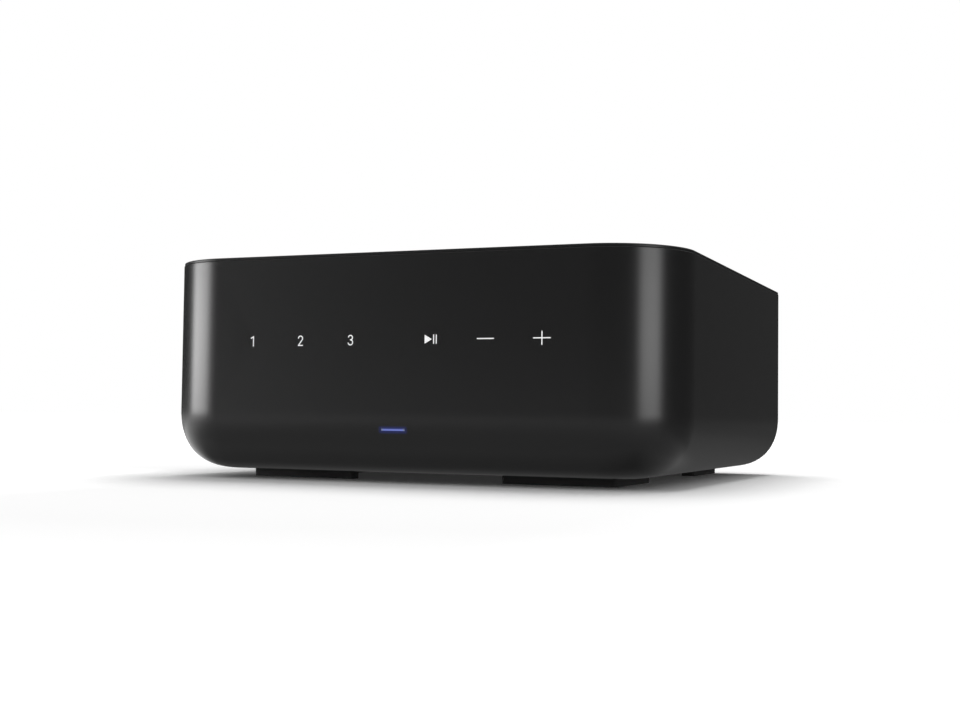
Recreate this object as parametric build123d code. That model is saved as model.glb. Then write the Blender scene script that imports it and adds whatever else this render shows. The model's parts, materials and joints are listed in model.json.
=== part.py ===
"""Compact streaming amplifier: a deep-drawn housing with a flat lid, boards and a socket panel.

Millimetres. X runs across, seen from the front with +X to the right, the front faces -Y and Z is up.
The origin is on the floor, under the middle of the plan that the housing and the speaker posts fill.
"""

from build123d import *
import math
import os

os.makedirs("parts", exist_ok=True)

# Housing, over its outside
BODY_WIDTH = 217.0
BODY_DEPTH = 198.5
BODY_TOP = 87.6
FOOT_HEIGHT = 3.6
CORNER_RADIUS = 31.8
BOTTOM_RADIUS = 22.9
WALL = 2.5
LID_THICK = 1.2
LID_INSET = 0.2
LID_EDGE_ROUND = 0.4
LIP_GAP = 0.3
LIP_THICK = 1.5
LIP_DEPTH = 3.0

# Hooks that hold the lid's front edge
HOOK_X = (-50.0, 0.0, 50.0)
CATCH_WIDTH = 12.0
CATCH_REACH = 2.5
CATCH_THICK = 1.5
CATCH_DROP = 8.0
HOOK_WIDTH = 8.0
HOOK_THICK = 1.5
HOOK_PLAY = 0.3
TOE_GAP = 0.8

# Feet
FOOT_WIDTH = 45.9
FOOT_DEPTH = 43.0
FOOT_OUTER_X = 78.3
FOOT_FRONT = 35.4
FOOT_REAR = 2.2
FOOT_ROUND = 4.0
FOOT_CHAMFER = 0.5

# Rear panel
PANEL_INSET = 1.0
PANEL_THICK = 1.5
PANEL_GAP = 0.2
SOCKET_GAP = 0.2
SOCKET_PROUD = 0.3
PANEL_BOSS = 8.0
PANEL_BOSS_DEPTH = 10.0
PANEL_BOSS_LOW_Z = 37.0
PANEL_BOSS_DROP = 14.4
FLOOR_BOSS_X = 45.0
LID_BOSS_X = 56.0
LID_BOSS_DROP = 9.0
REAR_VENT_COUNT = 9
REAR_VENT_WIDTH = 2.6
REAR_VENT_HEIGHT = 15.0
REAR_VENT_PITCH = 5.0
REAR_VENT_X = 42.0
REAR_VENT_Z = 41.0

# Screws and spacers
SCREW_RADIUS = 1.5
SCREW_LENGTH = 8.0
SCREW_FIT = 0.05
HEAD_RADIUS = 2.8
HEAD_HEIGHT = 1.8
HEAD_ROOM = 0.4
CROSS_WIDTH = 0.7
CROSS_SPAN = 3.2
CROSS_DEPTH = 1.0
CLEAR_HOLE = 0.15
SPACER_FLATS = 5.5
SPACER_HEIGHT = 6.0

# Base plate and its pads
PLATE_THICK = 1.2
PLATE_MARGIN = 1.6
PAD_RADIUS = 7.0
PAD_HEIGHT = 2.0
PLATE_BOSS_RADIUS = 3.5
PLATE_BOSS_HEIGHT = 3.0
FLOOR_VENT_COUNT = 7
FLOOR_VENT_X = 38.0
FLOOR_VENT_WIDTH = 2.6
FLOOR_VENT_LENGTH = 44.0
FLOOR_VENT_PITCH = 6.0
FLOOR_VENT_FRONT = 88.0

# Boards
BOARD_THICK = 1.6
BOARD_REAR_GAP = 1.5
BOARD_SPLIT_X = 21.0
BOARD_SPLIT_GAP = 5.0
AMP_BOARD_FRONT = 24.0
AMP_BOARD_DEPTH = 70.0
AMP_TO_MAIN_GAP = 6.0
POWER_BOARD_FRONT = 34.0
SPACER_INSET = 5.0
SOCKET_DEPTH_ROOM = 26.0

# Front symbols and touch board
SYMBOL_Z = 54.5
SYMBOL_X = (-60.4, -38.7, -16.9, 16.7, 38.6, 60.5)
INLAY_DEPTH = 0.6
STROKE = 0.58
DIGIT_HEIGHT = 4.2
DIGIT_WIDTH = 2.4
PLAY_WIDTH = 3.2
PLAY_HEIGHT = 3.6
BAR_WIDTH = 0.58
BAR_GAP = 0.5
MINUS_WIDTH = 7.0
PLUS_HEIGHT = 5.3
TOUCH_BOARD_MARGIN = 4.7
TOUCH_BOARD_HEIGHT = 22.0
TOUCH_BOARD_THICK = 1.2
RIBBON_WIDTH = 10.0
RIBBON_THICK = 0.3
RIBBON_X = 0.0
RIBBON_BEND = 8.0
RIBBON_REACH = 4.0

# Status lamp
LAMP_X = 1.3
LAMP_Z = 20.6
LAMP_WIDTH = 9.8
LAMP_HEIGHT = 1.1
GUIDE_WIDTH = 12.0
GUIDE_HEIGHT = 3.0
GUIDE_REAR = 12.2
LED_WIDTH = 3.0
LED_HEIGHT = 2.0
LED_DEPTH = 0.8
LAMP_BOARD_WIDTH = 34.0
LAMP_BOARD_HEIGHT = 12.0
LAMP_BOARD_THICK = 1.2
LAMP_BOSS_WIDTH = 7.0
LAMP_BOSS_HEIGHT = 8.0

# Speaker posts
POST_COUNT = 4
POST_DROP = 24.4
POST_SIDE = 21.5
POST_PITCH = 19.0
POST_FLANGE_RADIUS = 8.0
POST_FLANGE = 3.0
POST_NECK_RADIUS = 4.4
POST_FIT = 0.05
WASHER_THICK = 1.5
WASHER_RADIUS = 7.5
NUT_FLATS = 10.0
NUT_THICK = 3.0
STUD_RADIUS = 3.0
STUD_TAIL = 8.0
STUD_SHORT = 1.5
PLUG_RADIUS = 2.05
PLUG_DEPTH = 18.0
WIRE_HOLE_RADIUS = 1.75
WIRE_HOLE_OUT = 2.4
BUSH_RADIUS = 4.6
BUSH_INSET = 1.0
CAP_RADIUS = 6.6
CAP_LENGTH = 15.0
CAP_LIP = 2.0
CAP_LIP_GAP = 0.4
CAP_RIBS = 18
CAP_RIB_RADIUS = 0.55
CAP_EDGE = 0.6

# Sockets on the main board, from the outer side inward
ETHERNET_X = -76.0
ETHERNET_SIZE = (16.0, 21.0, 13.6)
ETHERNET_MOUTH = (12.0, 13.0, 8.4)
ETHERNET_SHEET = 0.5
ETHERNET_SILL = 2.6
LATCH_WIDTH = 6.2
LATCH_HEIGHT = 1.8
USB_X = -56.5
USB_SIZE = (13.2, 14.0, 5.8)
USB_SHEET = 0.35
USB_TONGUE = (11.0, 9.0, 1.8)
USB_TONGUE_DROP = 0.5
USB_LIFT = 1.0
HDMI_X = -38.0
HDMI_SIZE = (15.0, 12.0, 5.6)
HDMI_SHEET = 0.4
HDMI_TONGUE = (11.2, 8.0, 1.0)
HDMI_CORNER = 1.6
HDMI_LIFT = 0.6
SOCKET_BACK = 2.0
OPTICAL_X = -20.5
OPTICAL_SIZE = (9.8, 13.6, 10.4)
OPTICAL_MOUTH = (8.0, 10.0, 7.4)
OPTICAL_SILL = 1.4
FLAP_THICK = 0.8
FLAP_SETBACK = 2.8
FLAP_GAP = 0.15
FLAP_HEADROOM = 0.55
PIVOT_RADIUS = 0.4
PIVOT_LENGTH = 0.5
FERRULE_RADIUS = 1.3
FERRULE_DEPTH = 3.0

# Phono sockets
RCA_COLUMN_X = 10.0
RCA_SUB_X = -6.0
RCA_LIFT = 8.0
RCA_ROW = 14.0
RCA_BLOCK_WIDTH = 14.0
RCA_BLOCK_DEPTH = 17.0
RCA_BLOCK_TOP = 7.0
RCA_COLLAR_RADIUS = 5.0
RCA_COLLAR_PROUD = 1.2
RCA_BARREL_RADIUS = 4.15
RCA_BARREL_WALL = 0.4
RCA_REACH = 8.5
RCA_CORE_SHORT = 0.8
RCA_HOLE_RADIUS = 1.65
RCA_HOLE_DEPTH = 7.5
RCA_FIT = 0.03
RCA_DISC = 1.0

# Push buttons on the panel
BUTTON_Z = 46.0
BUTTON_X = (-22.0, -37.0)
BUTTON_RADIUS = 3.0
BUTTON_FIT = 0.08
BUTTON_PROUD = 0.9
BUTTON_TRAVEL = 0.6
BUTTON_FLANGE_RADIUS = 4.0
BUTTON_FLANGE = 1.0
BUTTON_EDGE = 0.3
STEM_RADIUS = 1.5
SWITCH_SIZE = 6.0
SWITCH_DEPTH = 3.5
SWITCH_FACE = 3.0
STEM_ENTRY = 1.5
SWITCH_SPARE = 0.4
BUTTON_BOARD_MARGIN = 12.0
BUTTON_BOARD_HEIGHT = 12.0
BUTTON_SPACER_OUT = 8.2

# Mains inlet
INLET_X = 71.0
INLET_SIZE = (22.0, 15.0, 13.0)
INLET_PIN_SPACING = 8.6
INLET_LOBE_RADIUS = 3.9
INLET_DEPTH = 11.0
INLET_PIN_RADIUS = 1.19
INLET_PIN_LENGTH = 8.5

# Power supply
CHOKE_FROM_SPLIT = 20.0
CHOKE_REAR = 17.0
CHOKE_RADIUS = 11.0
CHOKE_HOLE = 5.0
CHOKE_HEIGHT = 11.0
BULK_X = (38.0, 58.5)
BULK_REAR = 48.0
BULK_RADIUS = 9.0
BULK_HEIGHT = 31.0
CAP_CRIMP = 0.6
TRANSFORMER_X = 52.0
TRANSFORMER_REAR = 82.0
CORE_SIZE = (33.0, 12.0, 28.0)
CORE_LEG = 8.0
WINDING_SIZE = (23.0, 26.0, 17.0)
HEATSINK_X = 80.5
POWER_SINK_SIZE = (2.0, 56.0, 28.0)
POWER_SINK_REAR = 66.0
POWER_SINK_FOOT = 4.5
OUTPUT_CAP_X = (41.0, 56.0, 71.0)
OUTPUT_CAP_REAR = 116.5
OUTPUT_CAP_RADIUS = 6.3
OUTPUT_CAP_HEIGHT = 24.0

# Amplifier
CHIP_X = (-62.0, -22.0)
CHIP_FRONT = 58.0
CHIP_SIZE = (13.0, 13.0, 1.6)
SINK_X = -42.0
SINK_SIZE = (84.0, 36.0, 4.0)
SINK_FINS = 12
SINK_FIN_THICK = 1.6
SINK_FIN_HEIGHT = 20.0
SINK_LEG_RADIUS = 2.5
SINK_LEG_INSET = 4.0
INDUCTOR_COUNT = 4
INDUCTOR_PITCH = 20.0
INDUCTOR_SINK_GAP = 1.0
INDUCTOR_RADIUS = 7.0
INDUCTOR_HEIGHT = 12.0
INDUCTOR_WAIST = 5.6
INDUCTOR_FLANGE = 1.6

# Parts on the main board
MODULE_X = -60.0
MODULE_REAR = 47.0
MODULE_SIZE = (36.0, 28.0, 1.0)
SHIELD_SIZE = (28.0, 22.0, 2.6)
PROCESSOR_X = -20.0
PROCESSOR_REAR = 45.0
PROCESSOR_SIZE = (15.0, 15.0, 1.4)
PROCESSOR_SINK = (24.0, 24.0, 2.0)
PROCESSOR_FINS = 7
PROCESSOR_FIN_THICK = 1.0
PROCESSOR_FIN_HEIGHT = 9.0
SMALL_CAP_X = (-72.0, -60.0, -48.0, -36.0, -24.0, -12.0)
SMALL_CAP_FRONT = 6.5
SMALL_CAP_RADIUS = 3.15
SMALL_CAP_HEIGHT = 7.0

# Leads and aerials
LEAD_RADIUS = 1.1
LEAD_BEND = 9.0
SPEAKER_LEAD_X = 12.0
SPEAKER_LEAD_FRONT = 56.0
SPEAKER_LEAD_STEP = 7.0
SPEAKER_LEAD_RISE = 37.0
SPEAKER_LEAD_RUN = 46.0
SUPPLY_LEAD_FRONT = 46.0
SUPPLY_LEAD_STEP = 6.0
SUPPLY_LEAD_RISE = 14.0
SUPPLY_LEAD_SPAN = 9.0
SUPPLY_LEAD_BEND = 6.0
AERIAL_SIZE = (0.4, 38.0, 10.0)
AERIAL_DROP = 18.4
COAX_RADIUS = 0.65
COAX_BEND = 9.0
COAX_OUT = 16.0
COAX_SHIFT = 4.0
COAX_LIFT = 6.0

# Planes and levels that follow from the sizes above
POST_REACH = POST_FLANGE + CAP_LENGTH - PANEL_INSET
FRONT = -(BODY_DEPTH + POST_REACH) / 2
BACK = FRONT + BODY_DEPTH
HALF_WIDTH = BODY_WIDTH / 2
RIM = BODY_TOP - LID_THICK
PANEL_BOSS_Z = (PANEL_BOSS_LOW_Z, RIM - PANEL_BOSS_DROP)
FLOOR = FOOT_HEIGHT + WALL
PANEL_OUT = BACK - PANEL_INSET
PANEL_IN = PANEL_OUT - PANEL_THICK
PLATE_BOTTOM = FLOOR + PAD_HEIGHT
PLATE_TOP = PLATE_BOTTOM + PLATE_THICK
BOARD_BOTTOM = PLATE_TOP + SPACER_HEIGHT
BOARD_TOP = BOARD_BOTTOM + BOARD_THICK
BOARD_REAR = PANEL_IN - BOARD_REAR_GAP
AMP_BOARD_REAR = FRONT + AMP_BOARD_FRONT + AMP_BOARD_DEPTH
MAIN_BOARD_FRONT = AMP_BOARD_REAR + AMP_TO_MAIN_GAP
FLAT_HALF = HALF_WIDTH - BOTTOM_RADIUS
SOCKET_FACE = PANEL_OUT + SOCKET_PROUD
HOLE_RADIUS = SCREW_RADIUS + SCREW_FIT
WIDE_HOLE_RADIUS = SCREW_RADIUS + CLEAR_HOLE
BUTTON_BOARD_FACE = PANEL_IN - SWITCH_FACE - SWITCH_DEPTH
POST_FACE = PANEL_OUT + POST_FLANGE
POST_Z = RIM - POST_DROP
POST_X = [HALF_WIDTH - POST_SIDE - index * POST_PITCH for index in range(POST_COUNT)]
STUD_TIP = POST_FACE + CAP_LENGTH - STUD_SHORT
STUD_END = PANEL_IN - WASHER_THICK - NUT_THICK - STUD_TAIL


def slab(x_span, y_span, z_span):
    """A box between two X, two Y and two Z values."""
    spans = (x_span, y_span, z_span)
    centre = [(low + high) / 2 for low, high in spans]
    size = [high - low for low, high in spans]
    return Pos(*centre) * Box(*size)


def standing(x, y, z, size):
    """A box of a given size that stands on level z, centred at x and y."""
    wide, deep, high = size
    return slab((x - wide / 2, x + wide / 2), (y - deep / 2, y + deep / 2), (z, z + high))


def facing_rear(x, z, size, face):
    """A box centred across x that stands on level z, with its rear face in the plane y = face."""
    wide, deep, high = size
    return slab((x - wide / 2, x + wide / 2), (face - deep, face), (z, z + high))


def upright(x, y, z, radius, height):
    """A cylinder that stands on level z."""
    return Pos(x, y, z) * Cylinder(radius, height, align=(Align.CENTER, Align.CENTER, Align.MIN))


def rod(x, z, radius, y_start, y_end):
    """A cylinder along Y between two planes."""
    centre = (y_start + y_end) / 2
    return Pos(x, centre, z) * Rot(-90, 0, 0) * Cylinder(radius, y_end - y_start)


def joined(shapes):
    """The union of a list of shapes."""
    first, *others = shapes
    for shape in others:
        first = first + shape
    return first


def lead(points, radius, bend):
    """A round lead along straight runs joined by arcs."""
    path = FilletPolyline(*points, radius=bend)
    section = Plane(origin=path @ 0, z_dir=path % 0) * Circle(radius)
    return sweep(section, path=path)


def save(name, shape):
    """Writes one piece, or one group of like pieces."""
    shape.label = name
    export_step(shape, f"parts/{name}.step")


def save_group(name, shapes):
    """Writes separate solids that share one name."""
    save(name, Compound(children=list(shapes)))


def screw():
    """A pan-head screw along Z, its head's underside at the origin and its shank below."""
    shank = upright(0, 0, -SCREW_LENGTH, SCREW_RADIUS, SCREW_LENGTH)
    head = upright(0, 0, 0, HEAD_RADIUS, HEAD_HEIGHT)
    slot = Pos(0, 0, HEAD_HEIGHT - CROSS_DEPTH / 2) * Box(CROSS_SPAN, CROSS_WIDTH, CROSS_DEPTH)
    return shank + head - slot - Rot(0, 0, 90) * slot


def spacer(height):
    """A hexagonal spacer with a through hole, standing on the origin."""
    outline = RegularPolygon(SPACER_FLATS / 2, 6, major_radius=False) - Circle(HOLE_RADIUS)
    return extrude(outline, height)


def housing_form(inset, floor, top, back):
    """The housing's outline drawn in by an inset: square at the rear, round at the front and below."""
    half = HALF_WIDTH - inset
    block = slab((-half, half), (FRONT + inset, back), (floor, top))
    corners = block.edges().filter_by(Axis.Z).group_by(Axis.Y)[0]
    block = fillet(corners, CORNER_RADIUS - inset)
    around = block.edges().group_by(Axis.Z)[0].sort_by(Axis.Y)[:-1]
    return fillet(around, BOTTOM_RADIUS - inset)


def lid_form(inset, low, high, back):
    """A flat plate with the lid's outline, drawn in by an inset."""
    half = HALF_WIDTH - inset
    block = slab((-half, half), (FRONT + inset, back), (low, high))
    corners = block.edges().filter_by(Axis.Z).group_by(Axis.Y)[0]
    return fillet(corners, CORNER_RADIUS - inset)


def foot_centres():
    """The middle of each foot, by name."""
    x = FOOT_OUTER_X - FOOT_WIDTH / 2
    front = FRONT + FOOT_FRONT + FOOT_DEPTH / 2
    rear = BACK - FOOT_REAR - FOOT_DEPTH / 2
    return {
        "foot_front_left": (-x, front),
        "foot_front_right": (x, front),
        "foot_rear_left": (-x, rear),
        "foot_rear_right": (x, rear),
    }


def panel_screw_places():
    """Where screws enter the rear panel: into the housing's side and floor bosses and the lid's bosses."""
    side = HALF_WIDTH - WALL - PANEL_BOSS / 2
    places = [(sign * side, z) for sign in (-1, 1) for z in PANEL_BOSS_Z]
    places.append((FLOOR_BOSS_X, FLOOR + PANEL_BOSS / 2))
    places += [(sign * LID_BOSS_X, RIM - LID_BOSS_DROP / 2) for sign in (-1, 1)]
    return places


def button_spacer_places():
    """The two spacers that carry the button board, either side of the buttons."""
    return [(max(BUTTON_X) + BUTTON_SPACER_OUT, BUTTON_Z), (min(BUTTON_X) - BUTTON_SPACER_OUT, BUTTON_Z)]


def lamp_boss_places():
    """The X positions of the two bosses that carry the lamp board."""
    out = LAMP_BOARD_WIDTH / 2 - LAMP_BOSS_WIDTH / 2
    return [LAMP_X - out, LAMP_X + out]


def lamp_board_face():
    """The plane of the lamp board's front face."""
    return FRONT + GUIDE_REAR + LED_DEPTH


def spacer_places():
    """The board spacers: four under each board, clear of the sockets along the rear."""
    left = -FLAT_HALF + SPACER_INSET
    right = FLAT_HALF - SPACER_INSET
    split_left = BOARD_SPLIT_X - BOARD_SPLIT_GAP / 2 - SPACER_INSET
    split_right = BOARD_SPLIT_X + BOARD_SPLIT_GAP / 2 + SPACER_INSET
    amp_front = FRONT + AMP_BOARD_FRONT + SPACER_INSET
    amp_rear = AMP_BOARD_REAR - SPACER_INSET
    main_front = MAIN_BOARD_FRONT + SPACER_INSET
    power_front = FRONT + POWER_BOARD_FRONT + SPACER_INSET
    rear = BOARD_REAR - SOCKET_DEPTH_ROOM
    places = [(x, y) for x in (left, split_left) for y in (amp_front, amp_rear, main_front, rear)]
    return places + [(x, y) for x in (split_right, right) for y in (power_front, rear)]


def floor_vents(low, high):
    """The slots through the floor and the base plate, one group under each side's boards."""
    front = FRONT + FLOOR_VENT_FRONT
    half = FLOOR_VENT_WIDTH / 2
    vents = []
    for centre in (-FLOOR_VENT_X, FLOOR_VENT_X):
        first = centre - (FLOOR_VENT_COUNT - 1) / 2 * FLOOR_VENT_PITCH
        for index in range(FLOOR_VENT_COUNT):
            x = first + index * FLOOR_VENT_PITCH
            vents.append(slab((x - half, x + half), (front, front + FLOOR_VENT_LENGTH), (low, high)))
    return joined(vents)


def digit_one():
    """A 1: an upright stroke with a short flag."""
    top = DIGIT_HEIGHT / 2 - STROKE / 2
    stem_x = DIGIT_WIDTH / 5
    stem = Pos(stem_x, 0) * Rectangle(STROKE, DIGIT_HEIGHT)
    flag = SlotCenterToCenter(DIGIT_WIDTH / 2, STROKE)
    turned = Rot(0, 0, 30) * flag
    return stem + Pos(stem_x - DIGIT_WIDTH / 4 + STROKE / 6, top - DIGIT_WIDTH / 8) * turned


def digit_two():
    """A 2: an arc, a slanting stroke and a foot."""
    radius = (DIGIT_WIDTH - STROKE) / 2
    centre_y = DIGIT_HEIGHT / 2 - STROKE / 2 - radius
    base_y = -DIGIT_HEIGHT / 2 + STROKE / 2
    sweep_start = 175
    sweep_end = -40
    arc = CenterArc((0, centre_y), radius, sweep_start, sweep_end - sweep_start)
    slant = Line(arc @ 1, (-radius, base_y))
    foot = SlotCenterToCenter(2 * radius, STROKE)
    return SlotArc(arc, STROKE) + SlotArc(slant, STROKE) + Pos(0, base_y) * foot


def digit_three():
    """A 3: two arcs that meet at the waist."""
    upper = (DIGIT_HEIGHT - STROKE) / 4 * 0.94
    lower = (DIGIT_HEIGHT - STROKE) / 2 - upper
    upper_arc = CenterArc((0, DIGIT_HEIGHT / 2 - STROKE / 2 - upper), upper, 165, -255)
    lower_arc = CenterArc((0, -DIGIT_HEIGHT / 2 + STROKE / 2 + lower), lower, 90, -255)
    return SlotArc(upper_arc, STROKE) + SlotArc(lower_arc, STROKE)


def play_pause():
    """A triangle and two bars."""
    whole = PLAY_WIDTH + 2 * BAR_WIDTH + BAR_GAP + BAR_GAP / 2
    left = -whole / 2
    corners = [(left, -PLAY_HEIGHT / 2), (left + PLAY_WIDTH, 0), (left, PLAY_HEIGHT / 2)]
    triangle = make_face(Polyline(*corners, close=True))
    bars = []
    for index in range(2):
        x = left + PLAY_WIDTH + BAR_GAP / 2 + BAR_WIDTH / 2 + index * (BAR_WIDTH + BAR_GAP)
        bars.append(Pos(x, 0) * Rectangle(BAR_WIDTH, PLAY_HEIGHT))
    return [triangle, *bars]


def minus_sign():
    """A single stroke."""
    return SlotOverall(MINUS_WIDTH, STROKE)


def plus_sign():
    """Two crossed strokes."""
    return SlotOverall(MINUS_WIDTH, STROKE) + Rot(0, 0, 90) * SlotOverall(PLUS_HEIGHT, STROKE)


def front_symbols():
    """Inlays of the six touch symbols, flush with the front."""
    drawn = [[digit_one()], [digit_two()], [digit_three()], play_pause(), [minus_sign()], [plus_sign()]]
    solids = []
    for x, faces in zip(SYMBOL_X, drawn):
        plane = Plane(origin=(x, FRONT, SYMBOL_Z), x_dir=(1, 0, 0), z_dir=(0, -1, 0))
        solids += [extrude(plane * face, -INLAY_DEPTH) for face in faces]
    return solids


def light_guide_form():
    """The lamp's clear bar before the housing's wall shapes it: a thin blade and the block behind it."""
    blade = Pos(LAMP_X, 0, LAMP_Z) * slab(
        (-LAMP_WIDTH / 2, LAMP_WIDTH / 2),
        (FRONT, FRONT + GUIDE_REAR),
        (-LAMP_HEIGHT / 2, LAMP_HEIGHT / 2),
    )
    return blade & housing_form(0, FOOT_HEIGHT, RIM, BACK)


def light_guide(shell):
    """The clear bar, shaped to the inside of the wall."""
    block = Pos(LAMP_X, 0, LAMP_Z) * slab(
        (-GUIDE_WIDTH / 2, GUIDE_WIDTH / 2),
        (FRONT + WALL, FRONT + GUIDE_REAR),
        (-GUIDE_HEIGHT / 2, GUIDE_HEIGHT / 2),
    )
    block = block - shell
    inner = block.solids().sort_by(Axis.Y)[-1]
    return light_guide_form() + inner


def housing():
    """The moulded tub with its bosses, catches, pockets and holes."""
    outer = housing_form(0, FOOT_HEIGHT, RIM, BACK)
    cavity = housing_form(WALL, FLOOR, RIM + WALL, BACK + WALL)
    shell = outer - cavity
    ribs = []
    for x in HOOK_X:
        catch_low = RIM - CATCH_DROP
        ribs.append(
            slab(
                (x - CATCH_WIDTH / 2, x + CATCH_WIDTH / 2),
                (FRONT + WALL / 2, FRONT + WALL + CATCH_REACH),
                (catch_low, catch_low + CATCH_THICK),
            )
        )
    for sign in (-1, 1):
        inner = sign * (HALF_WIDTH - WALL - PANEL_BOSS)
        outer_x = sign * (HALF_WIDTH - WALL / 2)
        for z in PANEL_BOSS_Z:
            ribs.append(
                slab(
                    sorted((inner, outer_x)),
                    (PANEL_IN - PANEL_BOSS_DEPTH, PANEL_IN),
                    (z - PANEL_BOSS / 2, z + PANEL_BOSS / 2),
                )
            )
    ribs.append(
        slab(
            (FLOOR_BOSS_X - PANEL_BOSS / 2, FLOOR_BOSS_X + PANEL_BOSS / 2),
            (PANEL_IN - PANEL_BOSS_DEPTH, PANEL_IN),
            (FLOOR - WALL / 2, FLOOR + PANEL_BOSS),
        )
    )
    for x in lamp_boss_places():
        ribs.append(
            slab(
                (x - LAMP_BOSS_WIDTH / 2, x + LAMP_BOSS_WIDTH / 2),
                (FRONT + WALL / 2, lamp_board_face()),
                (LAMP_Z - LAMP_BOSS_HEIGHT / 2, LAMP_Z + LAMP_BOSS_HEIGHT / 2),
            )
        )
    for x, y in foot_centres().values():
        ribs.append(upright(x, y, FLOOR - WALL / 2, PAD_RADIUS, PAD_HEIGHT + WALL / 2))
    shell = shell + [rib & outer for rib in ribs]

    cuts = list(front_symbols())
    cuts.append(light_guide_form())
    cuts.append(floor_vents(FOOT_HEIGHT - WALL, FLOOR + WALL))
    for x, z in panel_screw_places()[:5]:
        cuts.append(rod(x, z, HOLE_RADIUS, PANEL_IN - PANEL_BOSS_DEPTH + WALL / 2, PANEL_IN))
    for x in lamp_boss_places():
        face = lamp_board_face()
        cuts.append(rod(x, LAMP_Z, HOLE_RADIUS, face - SCREW_LENGTH, face))
    for x, y in foot_centres().values():
        cuts.append(upright(x, y, FOOT_HEIGHT, WIDE_HOLE_RADIUS, PAD_HEIGHT + WALL))
        cuts.append(upright(x, y, FOOT_HEIGHT, HEAD_RADIUS + HEAD_ROOM, HEAD_HEIGHT))
    for cut in cuts:
        shell = shell - cut
    return shell


def top_cover():
    """The flat lid with its locating lip, front hooks and rear bosses."""
    plate = lid_form(LID_INSET, RIM, BODY_TOP, BACK)
    plate = fillet(plate.edges().group_by(Axis.Z)[-1], LID_EDGE_ROUND)
    lip_outer = WALL + LIP_GAP
    lip_back = PANEL_IN - PANEL_GAP
    lip = lid_form(lip_outer, RIM - LIP_DEPTH, RIM, lip_back)
    lip = lip - lid_form(lip_outer + LIP_THICK, RIM - LIP_DEPTH, RIM, BACK)
    lid = plate + lip
    catch_low = RIM - CATCH_DROP
    stem_front = FRONT + WALL + CATCH_REACH + HOOK_PLAY
    toe_low = catch_low - HOOK_PLAY - HOOK_THICK
    for x in HOOK_X:
        across = (x - HOOK_WIDTH / 2, x + HOOK_WIDTH / 2)
        stem_rear = stem_front + HOOK_THICK
        stem = slab(across, (stem_front, stem_rear), (toe_low, RIM))
        toe = slab(across, (FRONT + WALL + TOE_GAP, stem_rear), (toe_low, toe_low + HOOK_THICK))
        lid = lid + stem + toe
    for sign in (-1, 1):
        x = sign * LID_BOSS_X
        boss = slab(
            (x - PANEL_BOSS / 2, x + PANEL_BOSS / 2),
            (PANEL_IN - PANEL_BOSS_DEPTH, PANEL_IN),
            (RIM - LID_BOSS_DROP, RIM),
        )
        hole = rod(x, RIM - LID_BOSS_DROP / 2, HOLE_RADIUS, PANEL_IN - PANEL_BOSS_DEPTH + WALL / 2, PANEL_IN)
        lid = lid + boss - hole
    return lid


def socket_cuts():
    """The openings in the rear panel for the sockets, buttons and posts."""
    across = (PANEL_IN - PANEL_THICK, PANEL_OUT + PANEL_THICK)
    boxed = [
        (ETHERNET_X, BOARD_TOP, ETHERNET_SIZE),
        (USB_X, BOARD_TOP + USB_LIFT, USB_SIZE),
        (HDMI_X, BOARD_TOP + HDMI_LIFT, HDMI_SIZE),
        (OPTICAL_X, BOARD_TOP, OPTICAL_SIZE),
        (INLET_X, BOARD_TOP, INLET_SIZE),
    ]
    cuts = []
    for x, z, size in boxed:
        half = size[0] / 2 + SOCKET_GAP
        cuts.append(slab((x - half, x + half), across, (z - SOCKET_GAP, z + size[2] + SOCKET_GAP)))
    for x, z in rca_places():
        cuts.append(rod(x, z, RCA_COLLAR_RADIUS + SOCKET_GAP, *across))
    for x in BUTTON_X:
        cuts.append(rod(x, BUTTON_Z, BUTTON_RADIUS + BUTTON_FIT, *across))
    for x in POST_X:
        cuts.append(rod(x, POST_Z, POST_NECK_RADIUS + POST_FIT, *across))
    for x, z in panel_screw_places() + button_spacer_places():
        cuts.append(rod(x, z, WIDE_HOLE_RADIUS, *across))
    return cuts


def rear_vents():
    """Upright slots in the rear panel."""
    first = REAR_VENT_X - (REAR_VENT_COUNT - 1) / 2 * REAR_VENT_PITCH
    vents = []
    for index in range(REAR_VENT_COUNT):
        plane = Plane(
            origin=(first + index * REAR_VENT_PITCH, PANEL_IN - PANEL_THICK, REAR_VENT_Z),
            x_dir=(0, 0, 1),
            z_dir=(0, 1, 0),
        )
        vents.append(extrude(plane * SlotOverall(REAR_VENT_HEIGHT, REAR_VENT_WIDTH), 3 * PANEL_THICK))
    return vents


def rear_panel():
    """The plate that closes the rear, inside the housing's edge."""
    form = housing_form(WALL + PANEL_GAP, FLOOR + PANEL_GAP, RIM + WALL, BACK + WALL)
    panel = form & slab((-HALF_WIDTH, HALF_WIDTH), (PANEL_IN, PANEL_OUT), (0, RIM - PANEL_GAP))
    for cut in socket_cuts() + rear_vents():
        panel = panel - cut
    return panel


def foot(x, y):
    """A pad foot with rounded corners and an eased lower edge."""
    pad = standing(x, y, 0, (FOOT_WIDTH, FOOT_DEPTH, FOOT_HEIGHT))
    pad = fillet(pad.edges().filter_by(Axis.Z), FOOT_ROUND)
    return chamfer(pad.edges().group_by(Axis.Z)[0], FOOT_CHAMFER)


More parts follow.
